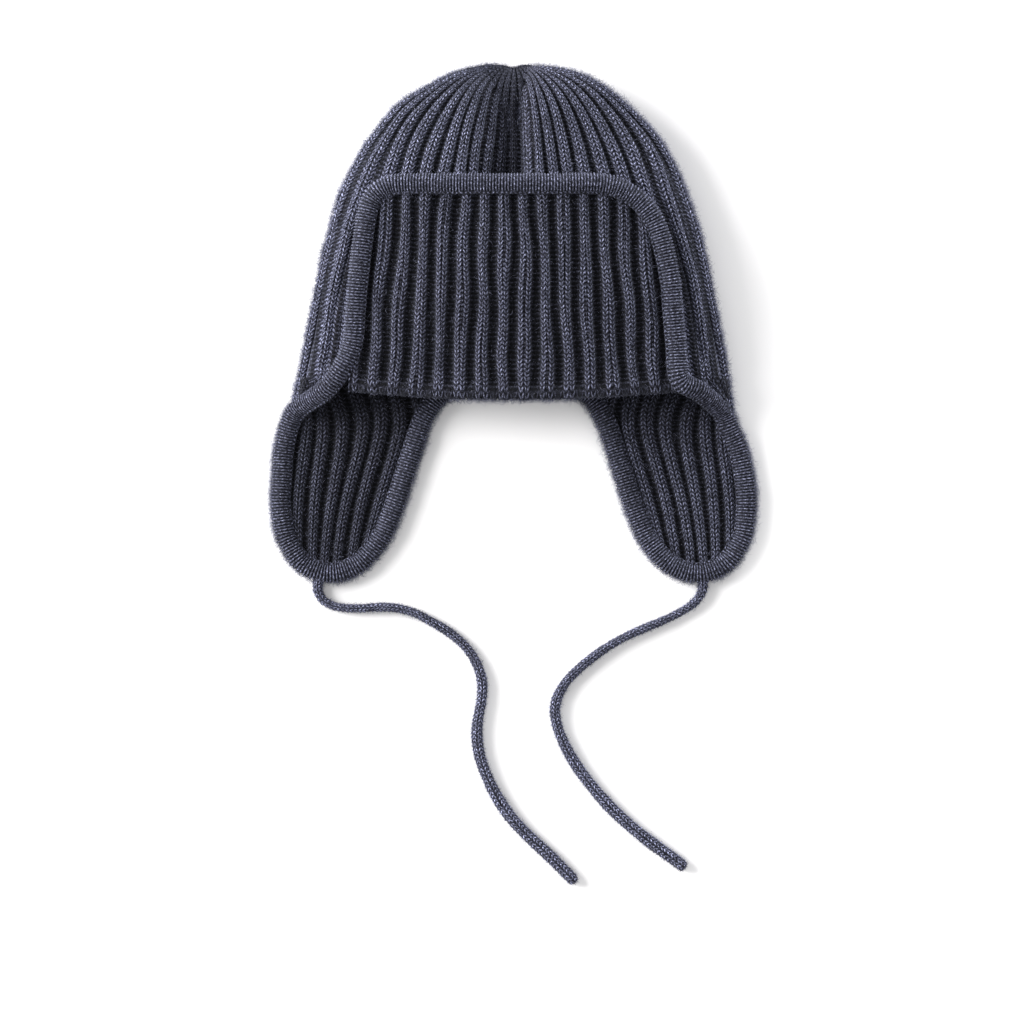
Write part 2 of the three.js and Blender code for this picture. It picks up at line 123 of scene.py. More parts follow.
# The ties' routes, as x and y
LEFT_TIE = (
    (-0.0897, -0.119), (-0.0897, -0.1225), (-0.0874, -0.1268), (-0.0834, -0.1292), (-0.0776, -0.1304),
    (-0.0706, -0.1306), (-0.064, -0.1302), (-0.0576, -0.1301), (-0.0512, -0.131), (-0.0446, -0.1332),
    (-0.0376, -0.1368), (-0.0312, -0.1406), (-0.0258, -0.1447), (-0.0211, -0.1495), (-0.0176, -0.1549),
    (-0.0154, -0.1606), (-0.0145, -0.1663), (-0.0148, -0.1724), (-0.0159, -0.1785), (-0.0168, -0.1843),
    (-0.0169, -0.19), (-0.0162, -0.1957), (-0.0146, -0.2019), (-0.0122, -0.208), (-0.0093, -0.2142),
    (-0.0056, -0.2205), (-0.0014, -0.2264), (0.0036, -0.232), (0.009, -0.2372), (0.0146, -0.2424),
    (0.02, -0.2477), (0.0254, -0.2532), (0.0282, -0.2563),
)
RIGHT_TIE = (
    (0.0864, -0.119), (0.0862, -0.1225), (0.0836, -0.127), (0.08, -0.13), (0.075, -0.133),
    (0.069, -0.1359), (0.062, -0.1388), (0.0546, -0.142), (0.0476, -0.1455), (0.041, -0.1495),
    (0.0346, -0.1542), (0.0294, -0.1586), (0.025, -0.163), (0.0216, -0.1678), (0.0194, -0.1729),
    (0.0188, -0.1784), (0.0198, -0.1844), (0.022, -0.1904), (0.025, -0.1966), (0.0286, -0.2026),
    (0.033, -0.2088), (0.038, -0.215), (0.0436, -0.2212), (0.0494, -0.2268), (0.0554, -0.2321),
    (0.0614, -0.2369), (0.0678, -0.2416), (0.0736, -0.2458), (0.0786, -0.2496),
)

HAT_LENGTH = CROWN_HEIGHT + CLEARANCE + FLAP_LENGTH + BINDING_WIDTH / 2
RIM_Y = HAT_LENGTH / 2 - CROWN_HEIGHT
FLAP_Y = RIM_Y - CLEARANCE
FLOOR_MIDDLE = BINDING_THICKNESS / 2

# The scene's own: how much narrower the ribs are in the middle of the crown than on average, where they
# gather in the crease, and how far a flap's knit sinks into its binding
RIB_CROWDING = 0.28
FLAP_SINK = 0.0007

# The knit of the crown and of the flaps starts a little past the rim, as a share of their length
PAST_RIM = -0.003

# The scene's own: how far up the crown its knit goes, the bumps and the dip that its ribs leave in the edge
# of the apex, and the last share of the rows, which is drawn together to the height of the sides
CROWN_END = 0.994
APEX = {"from": 0.93, "over": 0.06, "bump": 0.0008, "dip": 0.0009, "dip_x": -0.001, "dip_half": 0.0035}
DRAWN = {"from": 0.975, "over": 0.025}

# The scene's own: where the crown's rim meets an ear flap, it is pulled down and out under the binding. The
# pull grows and fades over ribs, counted from the peak's side, and over a share of the crown's height.
NOTCH = {-1: {"drop": 0.0135, "flare": 0.0045}, 1: {"drop": 0.018, "flare": 0.003}}
PULL = {"from": -0.9, "grows": 2.8, "none": 4.4, "fades": 1.8, "height": 0.09, "sink": 0.4}

# Knit: how far the slack fabric sways, the share of a rib that is crest, in each piece, and how the stitches
# of the round pieces are set
SLACK = 0.0006
PEAK_SLACK = 0.0007
CREST_SHARE = 0.62
UPPER_CREST_GAIN = 0.14
PEAK_CREST_SHARE = 0.59
FLAP_CREST_SHARE = 0.72
BINDING_ROWS = 11
BINDING_RELIEF = 0.0009
CHAIN = {"link": 0.0021, "radius": 0.0011, "relief": 0.0002, "rows": 3}
TIE_ROW = 0.0019
TIE_WALES = 6
TIE_RELIEF = 0.0006

# The nap: how bare the surroundings of a place at the outline are, the share of the fibres that stand there,
# and how short and sparse they are on the ties
EDGE_COVER = 0.72
EDGE_SHARE = 0.75
TIE_FIBRE_LENGTH = 0.55
TIE_FIBRE_SHARE = 0.6

# How light each piece's yarn is drawn, as a share of the colours. The yarn is the same throughout, so these
# gains are painted light and shade: the crown and the ties are drawn lighter, as if lit more, and the left
# flap darker than the right, as if in more shade
YARN_GAINS_PAINTED_LIGHT = {
    "crown knit": 1.85,
    "peak knit": 1.27,
    "left flap knit": 0.74,
    "right flap knit": 1.27,
    "binding knit": 1.22,
    "tie knit": 2.4,
}

# The studio: a large soft lamp and a small low one from the left, and a cooler one from behind on the right
FLOOR_HALF = 1.5
LIGHTS = {
    "key": {"place": (-1.85, 0.6, 0.85), "size": 1.6, "watts": 105, "colour": (1.0, 0.99, 0.98)},
    "low": {"place": (-2.0, 0.4, 0.34), "size": 0.6, "watts": 14, "colour": (1.0, 0.99, 0.98)},
    "fill": {"place": (1.2, 1.7, 0.27), "size": 0.8, "watts": 58, "colour": (0.98, 0.99, 1.0)},
}
WORLD_STRENGTH = 0.75
CAMERA_PLACE = (-0.0009, -0.0865, 2.4)
CAMERA_LENS = 184


class HatKnit(bpy.types.PropertyGroup):
    """Sizes of the knit."""

    rib_depth: FloatProperty(
        name="Rib depth", description="From a rib's crest to the valley", default=0.0034, unit="LENGTH"
    )
    row: FloatProperty(name="Row", description="Height of a stitch", default=0.00205, unit="LENGTH")
    stitch: FloatProperty(
        name="Stitch relief", description="How far a stitch stands out", default=0.0008, unit="LENGTH"
    )
    lean: FloatProperty(name="Lean", description="Rows that a stitch's leg climbs", default=1.0)
    binding_wale: FloatProperty(
        name="Binding wale", description="Width of a ridge across the binding", default=0.00138, unit="LENGTH"
    )
    spikes: IntProperty(name="Short fibres", description="Number of the nap's short fibres", default=42000)
    spike_length: FloatProperty(
        name="Short fibre", description="Length of the nap's short fibres", default=0.003, unit="LENGTH"
    )
    hairs: IntProperty(name="Long fibres", description="Number of the nap's long fibres", default=14000)
    hair_length: FloatProperty(
        name="Long fibre", description="Length of the nap's long fibres", default=0.0052, unit="LENGTH"
    )
    seed: IntProperty(name="Seed", description="Start of the random draws", default=7)


class HatColours(bpy.types.PropertyGroup):
    """Colours of the yarn and the floor."""

    light: FloatVectorProperty(
        name="Light", description="Palest fibres of the yarn", subtype="COLOR", default=(0.40, 0.42, 0.62)
    )
    yarn: FloatVectorProperty(
        name="Yarn", description="Main colour of the yarn", subtype="COLOR", default=(0.045, 0.048, 0.077)
    )
    dark: FloatVectorProperty(
        name="Dark", description="Darkest fibres of the yarn", subtype="COLOR", default=(0.004, 0.004, 0.008)
    )
    floor: FloatVectorProperty(
        name="Floor", description="Colour of the floor", subtype="COLOR", default=(0.93, 0.925, 0.93)
    )


# Forms


def smooth(t):
    t = np.clip(t, 0.0, 1.0)
    return t * t * (3 - 2 * t)


def closing(share, power):
    return np.sqrt(np.maximum(0.0, 1 - np.clip(share, 0, 1) ** power))


def fullness(rise):
    rise = np.clip(rise, 0, 1)
    after = np.clip(np.searchsorted(FULL_RISES, rise), 1, len(FULL_RISES) - 1)
    rises, depths = np.array(FULL_RISES), np.array(FULL_DEPTHS)
    t = smooth((rise - rises[after - 1]) / (rises[after] - rises[after - 1]))
    return depths[after - 1] + (depths[after] - depths[after - 1]) * t


def section(rise, inset=0.0):
    """The crown at a height: half width, side's reach, and heights of the back, side, shoulder and dome."""
    rise = np.clip(np.asarray(rise, float), 0, 0.9995)
    depth = (CROWN_DEPTH * fullness(rise) - 2 * inset) * closing(rise, CLOSE_POWER)
    half = (CROWN_HALF_WIDTH - inset) * (1 - CROWN_TAPER * rise) * closing(rise, DOME_POWER)
    low = inset + (APEX_LIFT - inset) * smooth((rise - LIFT_FROM) / (1 - LIFT_FROM)) ** 2
    reach = np.minimum(SIDE_WIDTH - inset / 2, half / 2)
    dome = (1 - SIDE_SHARE - SHOULDER_SHARE) * depth
    return half, reach, low, low + SIDE_SHARE * depth, SHOULDER_SHARE * depth, dome


def crease_depth(x, y, crease=CREASE):
    rise = (y - RIM_Y) / CROWN_HEIGHT
    across = (x - crease["x"]) / np.where(x < crease["x"], crease["left"], crease["right"])
    deep = smooth((rise - crease["from"]) / (crease["full"] - crease["from"]))
    return crease["depth"] * deep * np.exp(-across * across)


def front_height(x, y):
    """Height of the crown's front crests over a place on the surface."""
    half, reach, _, side, shoulder, dome = section((y - RIM_Y) / CROWN_HEIGHT)
    past = np.clip((np.abs(x) - half + reach) / reach, 0, 1)
    round_off = dome * (1 - np.clip(x / half, -1, 1) ** 2)
    return side + shoulder * closing(past, 2) + round_off - crease_depth(x, y)


def outline(rise, inset=0.0, turns=24, flats=32):
    """Closed outline of one section, from the front middle round by +X: distances round it, x and z."""
    half, reach, low, side, shoulder, dome = (float(v) for v in section(rise, inset))
    inner = half - reach
    x = np.linspace(0, inner, flats, endpoint=False)
    turn = math.pi / 2 * np.arange(turns, -turns, -1) / turns
    side_x = inner + reach * np.cos(turn)
    lift = np.where(turn > 0, shoulder * np.sin(turn), (side - low) * np.sin(turn))
    bulge = dome * (1 - (np.concatenate([x, side_x]) / max(half, 1e-9)) ** 2)
    bulge[flats:][turn <= 0] = 0
    xs = np.concatenate([x, side_x, inner * np.linspace(1, 0, flats + 1)])
    zs = np.concatenate([np.full(flats, side + shoulder), side + lift, np.full(flats + 1, low)])
    zs[: flats + 2 * turns] += bulge
    xs = np.concatenate([xs, -xs[-2:0:-1], xs[:1]])
    zs = np.concatenate([zs, zs[-2:0:-1], zs[:1]])
    sums = np.concatenate([[0], np.cumsum(np.hypot(np.diff(xs), np.diff(zs)))])
    return sums, xs, zs


RIM_SUMS, RIM_XS, RIM_ZS = outline(0)
RIB_PITCH = RIM_SUMS[-1] / CROWN_RIBS


def rim_at(rib):
    distance = np.mod(rib * RIB_PITCH, RIM_SUMS[-1])
    return np.interp(distance, RIM_SUMS, RIM_XS), np.interp(distance, RIM_SUMS, RIM_ZS)


def crown_points(ribs, rises, inset=0.0):
    rows = []
    for rise in rises:
        sums, xs, zs = outline(max(rise, 0.0), inset)
        place = ribs / CROWN_RIBS
        place = place - RIB_CROWDING * smooth((rise - 0.15) / 0.5) * np.sin(4 * np.pi * place) / (4 * np.pi)
        distance = np.mod(place, 1.0) * sums[-1]
        x, z = np.interp(distance, sums, xs), np.interp(distance, sums, zs)
        y = np.full_like(x, RIM_Y + rise * (CROWN_HEIGHT - inset))
        _, _, _, side, shoulder, dome = section(rise, inset)
        front = np.clip((z - side) / (shoulder + dome), 0, 1)
        depth = crease_depth(x, y) + crease_depth(x, y, DEEPENING)
        rows.append(np.stack([x, y, z - front * np.minimum(depth, 0.75 * (shoulder + dome))], axis=-1))
    return np.array(rows)


def fold_at(x):
    return FLAP_Y - FOLD_DROP * (1 - FOLD_BOW * (x / PEAK_HALF_WIDTH) ** 2)


PEAK_TOP = float(fold_at(0)) - FABRIC - LAYER_GAP / 2 + PEAK_HEIGHT
FOLD_TURN = (FABRIC + LAYER_GAP) / 2


def peak_share(y):
    return np.clip((y - float(fold_at(0))) / PEAK_HEIGHT, 0, 1)


def peak_half(y):
    return PEAK_HALF_WIDTH * (1 - PEAK_TAPER * peak_share(y))


def peak_end(x):
    corner = np.where(x < 0, PEAK_CORNERS[-1], PEAK_CORNERS[1])
    past = np.clip((np.abs(x) - peak_half(PEAK_TOP) + corner) / corner, 0, 1)
    return PEAK_TOP - corner * (1 - closing(past, 2))


def peak_points(ribs, run):
    """Middle of the peak's fabric. run is the distance along it from the fold, less than 0 inside."""
    x0, _ = rim_at(ribs)
    z0 = front_height(x0, np.full_like(x0, RIM_Y))
    fold_y = fold_at(x0)
    half_turn = math.pi * FOLD_TURN / 2
    angle = np.clip(run / half_turn, -1, 1) * math.pi / 2
    past = np.maximum(np.abs(run) - half_turn, 0)
    y = fold_y - FOLD_TURN * np.cos(angle) + past
    x = x0 * (1 - PEAK_TAPER * np.where(run > 0, peak_share(y), 0))
    over = front_height(x, y) + LAYER_GAP + FABRIC / 2
    z = np.where(run >= half_turn, over, z0 + LAYER_GAP / 2 + FOLD_TURN * np.sin(angle))
    return np.stack([x, y, z], axis=-1)


def flap_y(down):
    return FLAP_Y - FLAP_LENGTH * down


def flap_middle(down):
    return FLAP_CENTRE + FLAP_LEAN * down * (1 + FLAP_BEND - FLAP_BEND * down)


def flap_rib_half(down):
    return FLAP_RIBS * RIB_PITCH / 2 * (1 - RIB_CLOSING * down)


def flap_half(down):
    return FLAP_HALF_WIDTH * (1 - FLAP_TAPER * down) * closing(down, FLAP_POWER)


def flap_points(s, down):
    """Middle of an ear flap's fabric: the rim's tube flattens out. s runs from its outer edge inwards."""
    rib = PEAK_HALF_RIBS + s * FLAP_RIBS
    x, z = rim_at(rib)
    dx, dz = (ahead - behind for ahead, behind in zip(rim_at(rib + 0.05), rim_at(rib - 0.05)))
    length = np.hypot(dx, dz)
    x, z = x + dz / length * FABRIC / 2, z - dx / length * FABRIC / 2
    roll = np.exp(-((np.maximum(down, 0) / ROLL_SHARE) ** ROLL_POWER))
    flat = flap_middle(down) + (1 - 2 * s) * flap_rib_half(down)
    first = flap_middle(0) + (1 - 2 * s) * flap_rib_half(0)
    height = FLOOR_MIDDLE + roll * (z - FLOOR_MIDDLE)
    return np.stack([flat + roll * (x - first), flap_y(down), height], axis=-1)


def edge_point(down, edge):
    s = 0.5 - edge * flap_half(down) / (2 * flap_rib_half(down))
    return flap_points(np.array(s, float), np.array(down, float))


def inner_x(down):
    return flap_middle(down) - flap_half(down)


def flap_end(s):
    nape = BINDING_WIDTH / 2 / FLAP_LENGTH
    down = 1.0
    while down > nape:
        wide = (1 - 2 * s) * flap_rib_half(down) > flap_half(down)
        if not wide and flap_points(np.array(s), np.array(down))[0] >= inner_x(down):
            break
        down -= 0.004
    return down


def binding_stops(side):
    """Points on half of the binding's loop, from the nape by +X to the top of the peak, unmirrored."""
    corner, strays = PEAK_CORNERS[side], STRAYS[side]
    lift = BINDING_THICKNESS / 2
    nape_y = RIM_Y - CLEARANCE - BINDING_WIDTH / 2
    fillet_x = inner_x(STOPS["inner"][0])
    points = [
        (0, nape_y, lift),
        (0.45 * (fillet_x - NAPE_FILLET / 2), nape_y, lift),
        (fillet_x - 0.8 * NAPE_FILLET, nape_y - 0.04 * NAPE_FILLET, lift),
        (fillet_x - 0.38 * NAPE_FILLET, nape_y - 0.2 * NAPE_FILLET, lift),
    ]
    points += [(inner_x(down), flap_y(down), lift) for down in STOPS["inner"]]
    turns = [math.sin(math.radians(turn)) ** (2 / FLAP_POWER) for turn in (*STOPS["tip"], 90)]
    points += [edge_point(down, -1) for down in turns]
    points += [edge_point(down, 1) for down in turns[-2::-1]]
    points += [edge_point(down, 1) + (out, 0, 0) for down, out in zip(STOPS["outer"], strays["outer"])]

    def over(x, y):
        step = BINDING_WIDTH / 2
        under = max(float(front_height(x - step, y)), float(front_height(x, y - step)))
        return x, y, under + LAYER_GAP + lift

    notch_x, notch_z = (float(v) for v in rim_at(PEAK_HALF_RIBS + 0.1))
    out, up = strays["notch"]
    points.append((notch_x + out, RIM_Y - BINDING_WIDTH / 2 + up, notch_z + lift / 2))
    out, up = strays["foot"]
    points.append(over(0.5 * (notch_x + PEAK_HALF_WIDTH) - 0.001 + out, RIM_Y + BINDING_WIDTH / 3 + up))
    for share in STOPS["side"]:
        y = float(fold_at(0)) + share * PEAK_HEIGHT
        points.append(over(float(peak_half(y)), y))
    centre = float(peak_half(PEAK_TOP)) - corner
    for turn in np.radians(STOPS["corner"]):
        points.append(over(centre + corner * math.cos(turn), PEAK_TOP - corner * (1 - math.sin(turn))))
    points += [over(centre / 2, PEAK_TOP), over(0.0, PEAK_TOP)]
    return [np.array(p, float) for p in points]


def curve_through(points, closed, steps=24):
    """A centripetal curve through the points, as many points close together."""
    points = np.asarray(points, float)
    count = len(points)
    made = []
    for i in range(count if closed else count - 1):
        if closed:
            p = points[[(i - 1) % count, i, (i + 1) % count, (i + 2) % count]]
        else:
            before = points[i - 1] if i else 2 * points[0] - points[1]
            after = points[i + 2] if i + 2 < count else 2 * points[-1] - points[-2]
            p = np.array([before, points[i], points[i + 1], after])
        d = np.sqrt(np.linalg.norm(np.diff(p, axis=0), axis=1))
        t1 = ((p[1] - p[0]) / d[0] - (p[2] - p[0]) / (d[0] + d[1]) + (p[2] - p[1]) / d[1]) * d[1]
        t2 = ((p[2] - p[1]) / d[1] - (p[3] - p[1]) / (d[1] + d[2]) + (p[3] - p[2]) / d[2]) * d[1]
        t = np.linspace(0, 1, steps, endpoint=False)[:, None]
        made.append(
            (2 * t**3 - 3 * t**2 + 1) * p[1] + (t**3 - 2 * t**2 + t) * t1
            + (3 * t**2 - 2 * t**3) * p[2] + (t**3 - t**2) * t2
        )
    made = np.concatenate(made)
    return made if closed else np.concatenate([made, points[-1:]])


def along(points, count, closed):
    """The curve at equal steps: positions, tangents and its length."""
    ring = np.concatenate([points, points[:1]]) if closed else points
    sums = np.concatenate([[0], np.cumsum(np.linalg.norm(np.diff(ring, axis=0), axis=1))])
    places = np.linspace(0, sums[-1], count, endpoint=not closed)
    step = sums[-1] / count

    def at(places):
        places = np.mod(places, sums[-1]) if closed else np.clip(places, 0, sums[-1])
        return np.stack([np.interp(places, sums, ring[:, k]) for k in range(3)], axis=-1)

    return at(places), unit(at(places + step) - at(places - step)), sums[-1]


def unit(vectors):
    return vectors / np.maximum(np.linalg.norm(vectors, axis=-1, keepdims=True), 1e-12)


def binding_path():
    left = [p * (-1, 1, 1) for p in binding_stops(-1)[-2:0:-1]]
    path = curve_through(binding_stops(1) + left, True)
    path[:, 2] = np.maximum(path[:, 2], BINDING_THICKNESS / 2)
    return path


# Knit


class Yarn:
    """Relief of the stitches, with small differences from one stitch to the next."""

    def __init__(self, knit, seed):
        self.knit = knit
        self.table = np.random.default_rng(seed).random((64, 257))

    def vary(self, wale, row):
        return self.table[np.mod(np.round(wale), 64).astype(int), np.mod(np.floor(row), 257).astype(int)]

    def legs(self, wale, row):
        """From 0 to 1: each stitch is a V, whose two legs climb away from the middle of its wale."""
        off = 2 * np.abs(wale - np.round(wale))
        lean = row - self.knit.lean * off
        across = np.sqrt(np.clip(1 - off**4, 0, 1)) * (1 - 0.6 * np.exp(-((off / 0.25) ** 2)))
        return np.abs(np.sin(np.pi * lean)) ** 0.9 * across * (0.7 + 0.5 * self.vary(wale, lean))

    def ridges(self, wale, row):
        """From 0 to 1: each leg of the stitches is a narrow ridge, and they slant by turns."""
        off = wale - np.round(wale)
        slant = row + np.abs(np.mod(wale + 0.5, 2) - 1)
        stitch = 0.7 + 0.3 * np.abs(np.sin(np.pi * slant)) ** 0.7
        return np.cos(np.pi * off) ** 0.7 * stitch * (0.8 + 0.3 * self.vary(wale, slant))

    def rib(self, rib, row, depth, relief, crest_share=CREST_SHARE):
        """Offset from the level of the crests, the share of crest, and the stitch coordinates."""
        whole = np.round(rib)
        p = rib - whole
        half = crest_share / 2
        dome = np.sqrt(1 - np.clip(np.abs(p) / (half + 0.055), 0, 1) ** 2)
        crest = smooth((dome - 0.1) / 0.3)
        wale = p / half + 0.5
        knit = self.legs(np.clip(wale, -0.45, 1.45) + 2 * whole, row)
        top = (knit - 0.9 - 0.5 * np.exp(-((p / 0.035) ** 2))) * relief
        valley = (np.abs(p) - 0.5) / (0.5 - half)
        arch = row + 0.5 * smooth(1 + valley) + 0.25
        bump = np.abs(np.sin(np.pi * arch)) ** 0.8 * (0.7 + 0.6 * self.vary(2 * whole + 31, arch))
        offset = crest * top + (1 - crest) * bump * relief * 0.8 - depth * (1 - dome)
        return offset, dome, np.stack([wale + 2 * whole, row], axis=-1)


def rib_places(first, last, cells, shift=0.0):
    """Places across the ribs, closer together on the crests, which lie at whole numbers less the shift."""
    even = np.linspace(first + shift, last + shift, int(round((last - first) * cells)) + 1)
    return even - 0.35 * np.sin(2 * np.pi * even) / (2 * np.pi) - shift


def evened(points, steps):
    """A grid with its rows moved to equal distances along each column, and those distances."""
    lengths = np.linalg.norm(np.diff(points, axis=0), axis=2)
    sums = np.concatenate([np.zeros((1, points.shape[1])), np.cumsum(lengths, axis=0)])
    run = np.linspace(0, 1, steps + 1)[:, None] * sums[-1]
    made = np.empty((*run.shape, 3))
    for column in range(points.shape[1]):
        for axis in range(3):
            made[:, column, axis] = np.interp(run[:, column], sums[:, column], points[:, column, axis])
    return made, run


def sway(x, y, seed):
    """Slow waves of the slack fabric, from about -1 to 1."""
    wide = np.sin(2 * np.pi * (x / 0.047 + y / 0.09) + seed)
    wide = wide + np.sin(2 * np.pi * (x / 0.083 - y / 0.06) + 2.3 * seed)
    return 0.5 * wide + 0.35 * np.sin(2 * np.pi * (x / 0.031 + y / 0.038) + 4.1 * seed)


def normals(points):
    """Of a grid of points, to the side where its columns turn left into its rows."""
    return unit(np.cross(np.gradient(points, axis=1), np.gradient(points, axis=0)))


class Shell:
    """Points and faces gathered for one mesh, with the knit's coordinates at each point."""

    def __init__(self):
        self.points, self.knit, self.bake, self.crest, self.faces, self.uvs = [], [], [], [], [], []
        self.tris = []
        self.count = 0

    def add(self, points, knit, bake, crest):
        ids = self.count + np.arange(len(points))
        self.count += len(points)
        stored = (self.points, self.knit, self.bake, self.crest)
        for kept, values in zip(stored, (points, knit, bake, crest)):
            kept.append(values)
        return ids

    def grid(self, points, knit, crest, wrap=None, loop=None, flip=False, band=(0.0, 1.0)):
        """Adds a grid of points, none lower than the floor, and returns their numbers. wrap joins the last
        column to the first, and loop the last row to the first: each is the knit's coordinates' step over the
        seam. band is the share of the baked picture's height."""
        rows, columns = points.shape[:2]
        points[..., 2] = np.maximum(points[..., 2], LOWEST)
        wide, high = columns + (wrap is not None), rows + (loop is not None)
        lines = np.linspace(band[0] + 0.002, band[1] - 0.002, high)
        bake = np.stack(np.meshgrid(np.linspace(0.002, 0.998, wide), lines), axis=-1)
        own = bake[:rows, :columns].reshape(-1, 2)
        ids = self.add(points.reshape(-1, 3), knit.reshape(-1, 2), own, crest.reshape(-1))
        ring = ids = ids.reshape(rows, columns)
        if wrap is not None:
            ring = np.concatenate([ring, ring[:, :1]], axis=1)
            knit = np.concatenate([knit, knit[:, :1] + wrap], axis=1)
        if loop is not None:
            ring = np.concatenate([ring, ring[:1]])
            knit = np.concatenate([knit, knit[:1] + loop])

        def corners(values):
            four = np.stack([values[:-1, :-1], values[:-1, 1:], values[1:, 1:], values[1:, :-1]], axis=2)
            four = four.reshape(-1, 4, *values.shape[2:])
            return four[:, ::-1] if flip else four

        self.faces.append(corners(ring))
        self.uvs.append(np.concatenate([corners(bake), corners(knit)], axis=-1).reshape(-1, 4))
        return ids

    def strip(self, a, b, flip=False):
        """Triangles between two lines of points that start and end together."""
        i = j = 0
        while i < len(a) - 1 or j < len(b) - 1:
            if j == len(b) - 1 or (i < len(a) - 1 and (i + 1) * (len(b) - 1) <= (j + 1) * (len(a) - 1)):
                tri = (a[i], a[i + 1], b[j])
                i += 1
            else:
                tri = (a[i], b[j + 1], b[j])
                j += 1
            self.tris.append(tri[::-1] if flip else tri)

    def close(self, over, under, flip=False):
        """Joins two grids, one over the other, round their four edges."""
        self.strip(under[0], over[0], flip)
        self.strip(under[:, -1], over[:, -1], flip)
        self.strip(over[-1], under[-1], flip)
        self.strip(over[:, 0], under[:, 0], flip)

    def cap(self, ring, point, flip=False):
        """Closes a ring of points with a fan."""
        middle = self.add(np.reshape(point, (1, 3)), np.zeros((1, 2)), np.zeros((1, 2)), np.ones(1))[0]
        for i, first in enumerate(ring):
            tri = (first, ring[(i + 1) % len(ring)], middle)
            self.tris.append(tri[::-1] if flip else tri)

    def build(self, name, material):
        tris = np.array(self.tris, int).reshape(-1, 3)
        both = np.concatenate([np.concatenate(self.bake), np.concatenate(self.knit)], axis=-1)
        sizes = np.concatenate([np.full(len(faces), faces.shape[1]) for faces in (*self.faces, tris)])
        corners = np.concatenate([faces.ravel() for faces in (*self.faces, tris)])
        uvs = np.concatenate([*self.uvs, both[tris.ravel()]]).astype(np.float32)
        mesh = bpy.data.meshes.new(name)
        mesh.vertices.add(self.count)
        mesh.vertices.foreach_set("co", np.concatenate(self.points).astype(np.float32).ravel())
        mesh.loops.add(len(corners))
        mesh.loops.foreach_set("vertex_index", corners.astype(np.int32))
        mesh.polygons.add(len(sizes))
        mesh.polygons.foreach_set("loop_start", (np.cumsum(sizes) - sizes).astype(np.int32))
        mesh.update(calc_edges=True)
        mesh.uv_layers.new(name="OFBake").data.foreach_set("uv", uvs[:, :2].ravel())
        mesh.uv_layers.new(name="Knit").data.foreach_set("uv", uvs[:, 2:].ravel())
        # The crest attribute also carries painted shade: the material darkens the colour where it is low
        crest = mesh.attributes.new("crest", "FLOAT", "POINT")
        crest.data.foreach_set("value", np.concatenate(self.crest).astype(np.float32))
        mesh.polygons.foreach_set("use_smooth", np.ones(len(sizes), bool))
        if mesh.validate():
            raise RuntimeError(f"{name} had faces that Blender had to mend")
        obj = bpy.data.objects.new(name, mesh)
        bpy.context.scene.collection.objects.link(obj)
        mesh.materials.append(material)
        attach(obj, "root")
        return obj


# Materials


class Graph:
    """A material's nodes, added one after another."""

    def __init__(self, name):
        self.material = bpy.data.materials.get(name) or bpy.data.materials.new(name)
        self.material.use_nodes = True
        self.tree = self.material.node_tree
        self.tree.nodes.clear()

    def add(self, kind, inputs=(), **settings):
        node = self.tree.nodes.new("ShaderNode" + kind)
        for key, value in settings.items():
            setattr(node, key, value)
        for key, value in dict(inputs).items():
            if isinstance(value, bpy.types.NodeSocket):
                self.tree.links.new(value, node.inputs[key])
            else:
                node.inputs[key].default_value = value
        return node

    def math(self, operation, a, b=0.0, c=0.0):
        return self.add("Math", {0: a, 1: b, 2: c}, operation=operation).outputs[0]

    def times(self, a, b):
        return self.math("MULTIPLY", a, b)

    def scaled(self, value, factor, start):
        return self.math("MULTIPLY_ADD", value, factor, start)

    def mix(self, factor, a, b, blend="MIX"):
        return self.add("Mix", {0: factor, 6: a, 7: b}, data_type="RGBA", blend_type=blend).outputs[2]

    def ramp(self, value, low, high):
        return self.add("MapRange", {0: value, 1: low, 2: high, 3: 0.0, 4: 1.0}).outputs[0]

    def hill(self, value):
        """Up from 0 to 1 and down again over each whole step of the value."""
        return self.times(self.math("PINGPONG", value, 0.5), 2.0)

    def noise(self, vector, scale, detail=2.0):
        return self.add("TexNoise", {"Vector": vector, "Scale": scale, "Detail": detail}).outputs["Fac"]

    def bump(self, height, strength, distance, **more):
        sockets = {"Height": height, "Strength": strength, "Distance": distance, **more}
        return self.add("Bump", sockets).outputs[0]

    def surface(self, colour, sockets):
        """Ends the graph in a surface of this colour, and returns the material."""
        shader = self.add("BsdfPrincipled", {"Base Color": colour, **sockets})
        self.tree.links.new(shader.outputs[0], self.add("OutputMaterial").inputs[0])
        return self.material


def rgba(colour):
    return (*colour, 1.0)


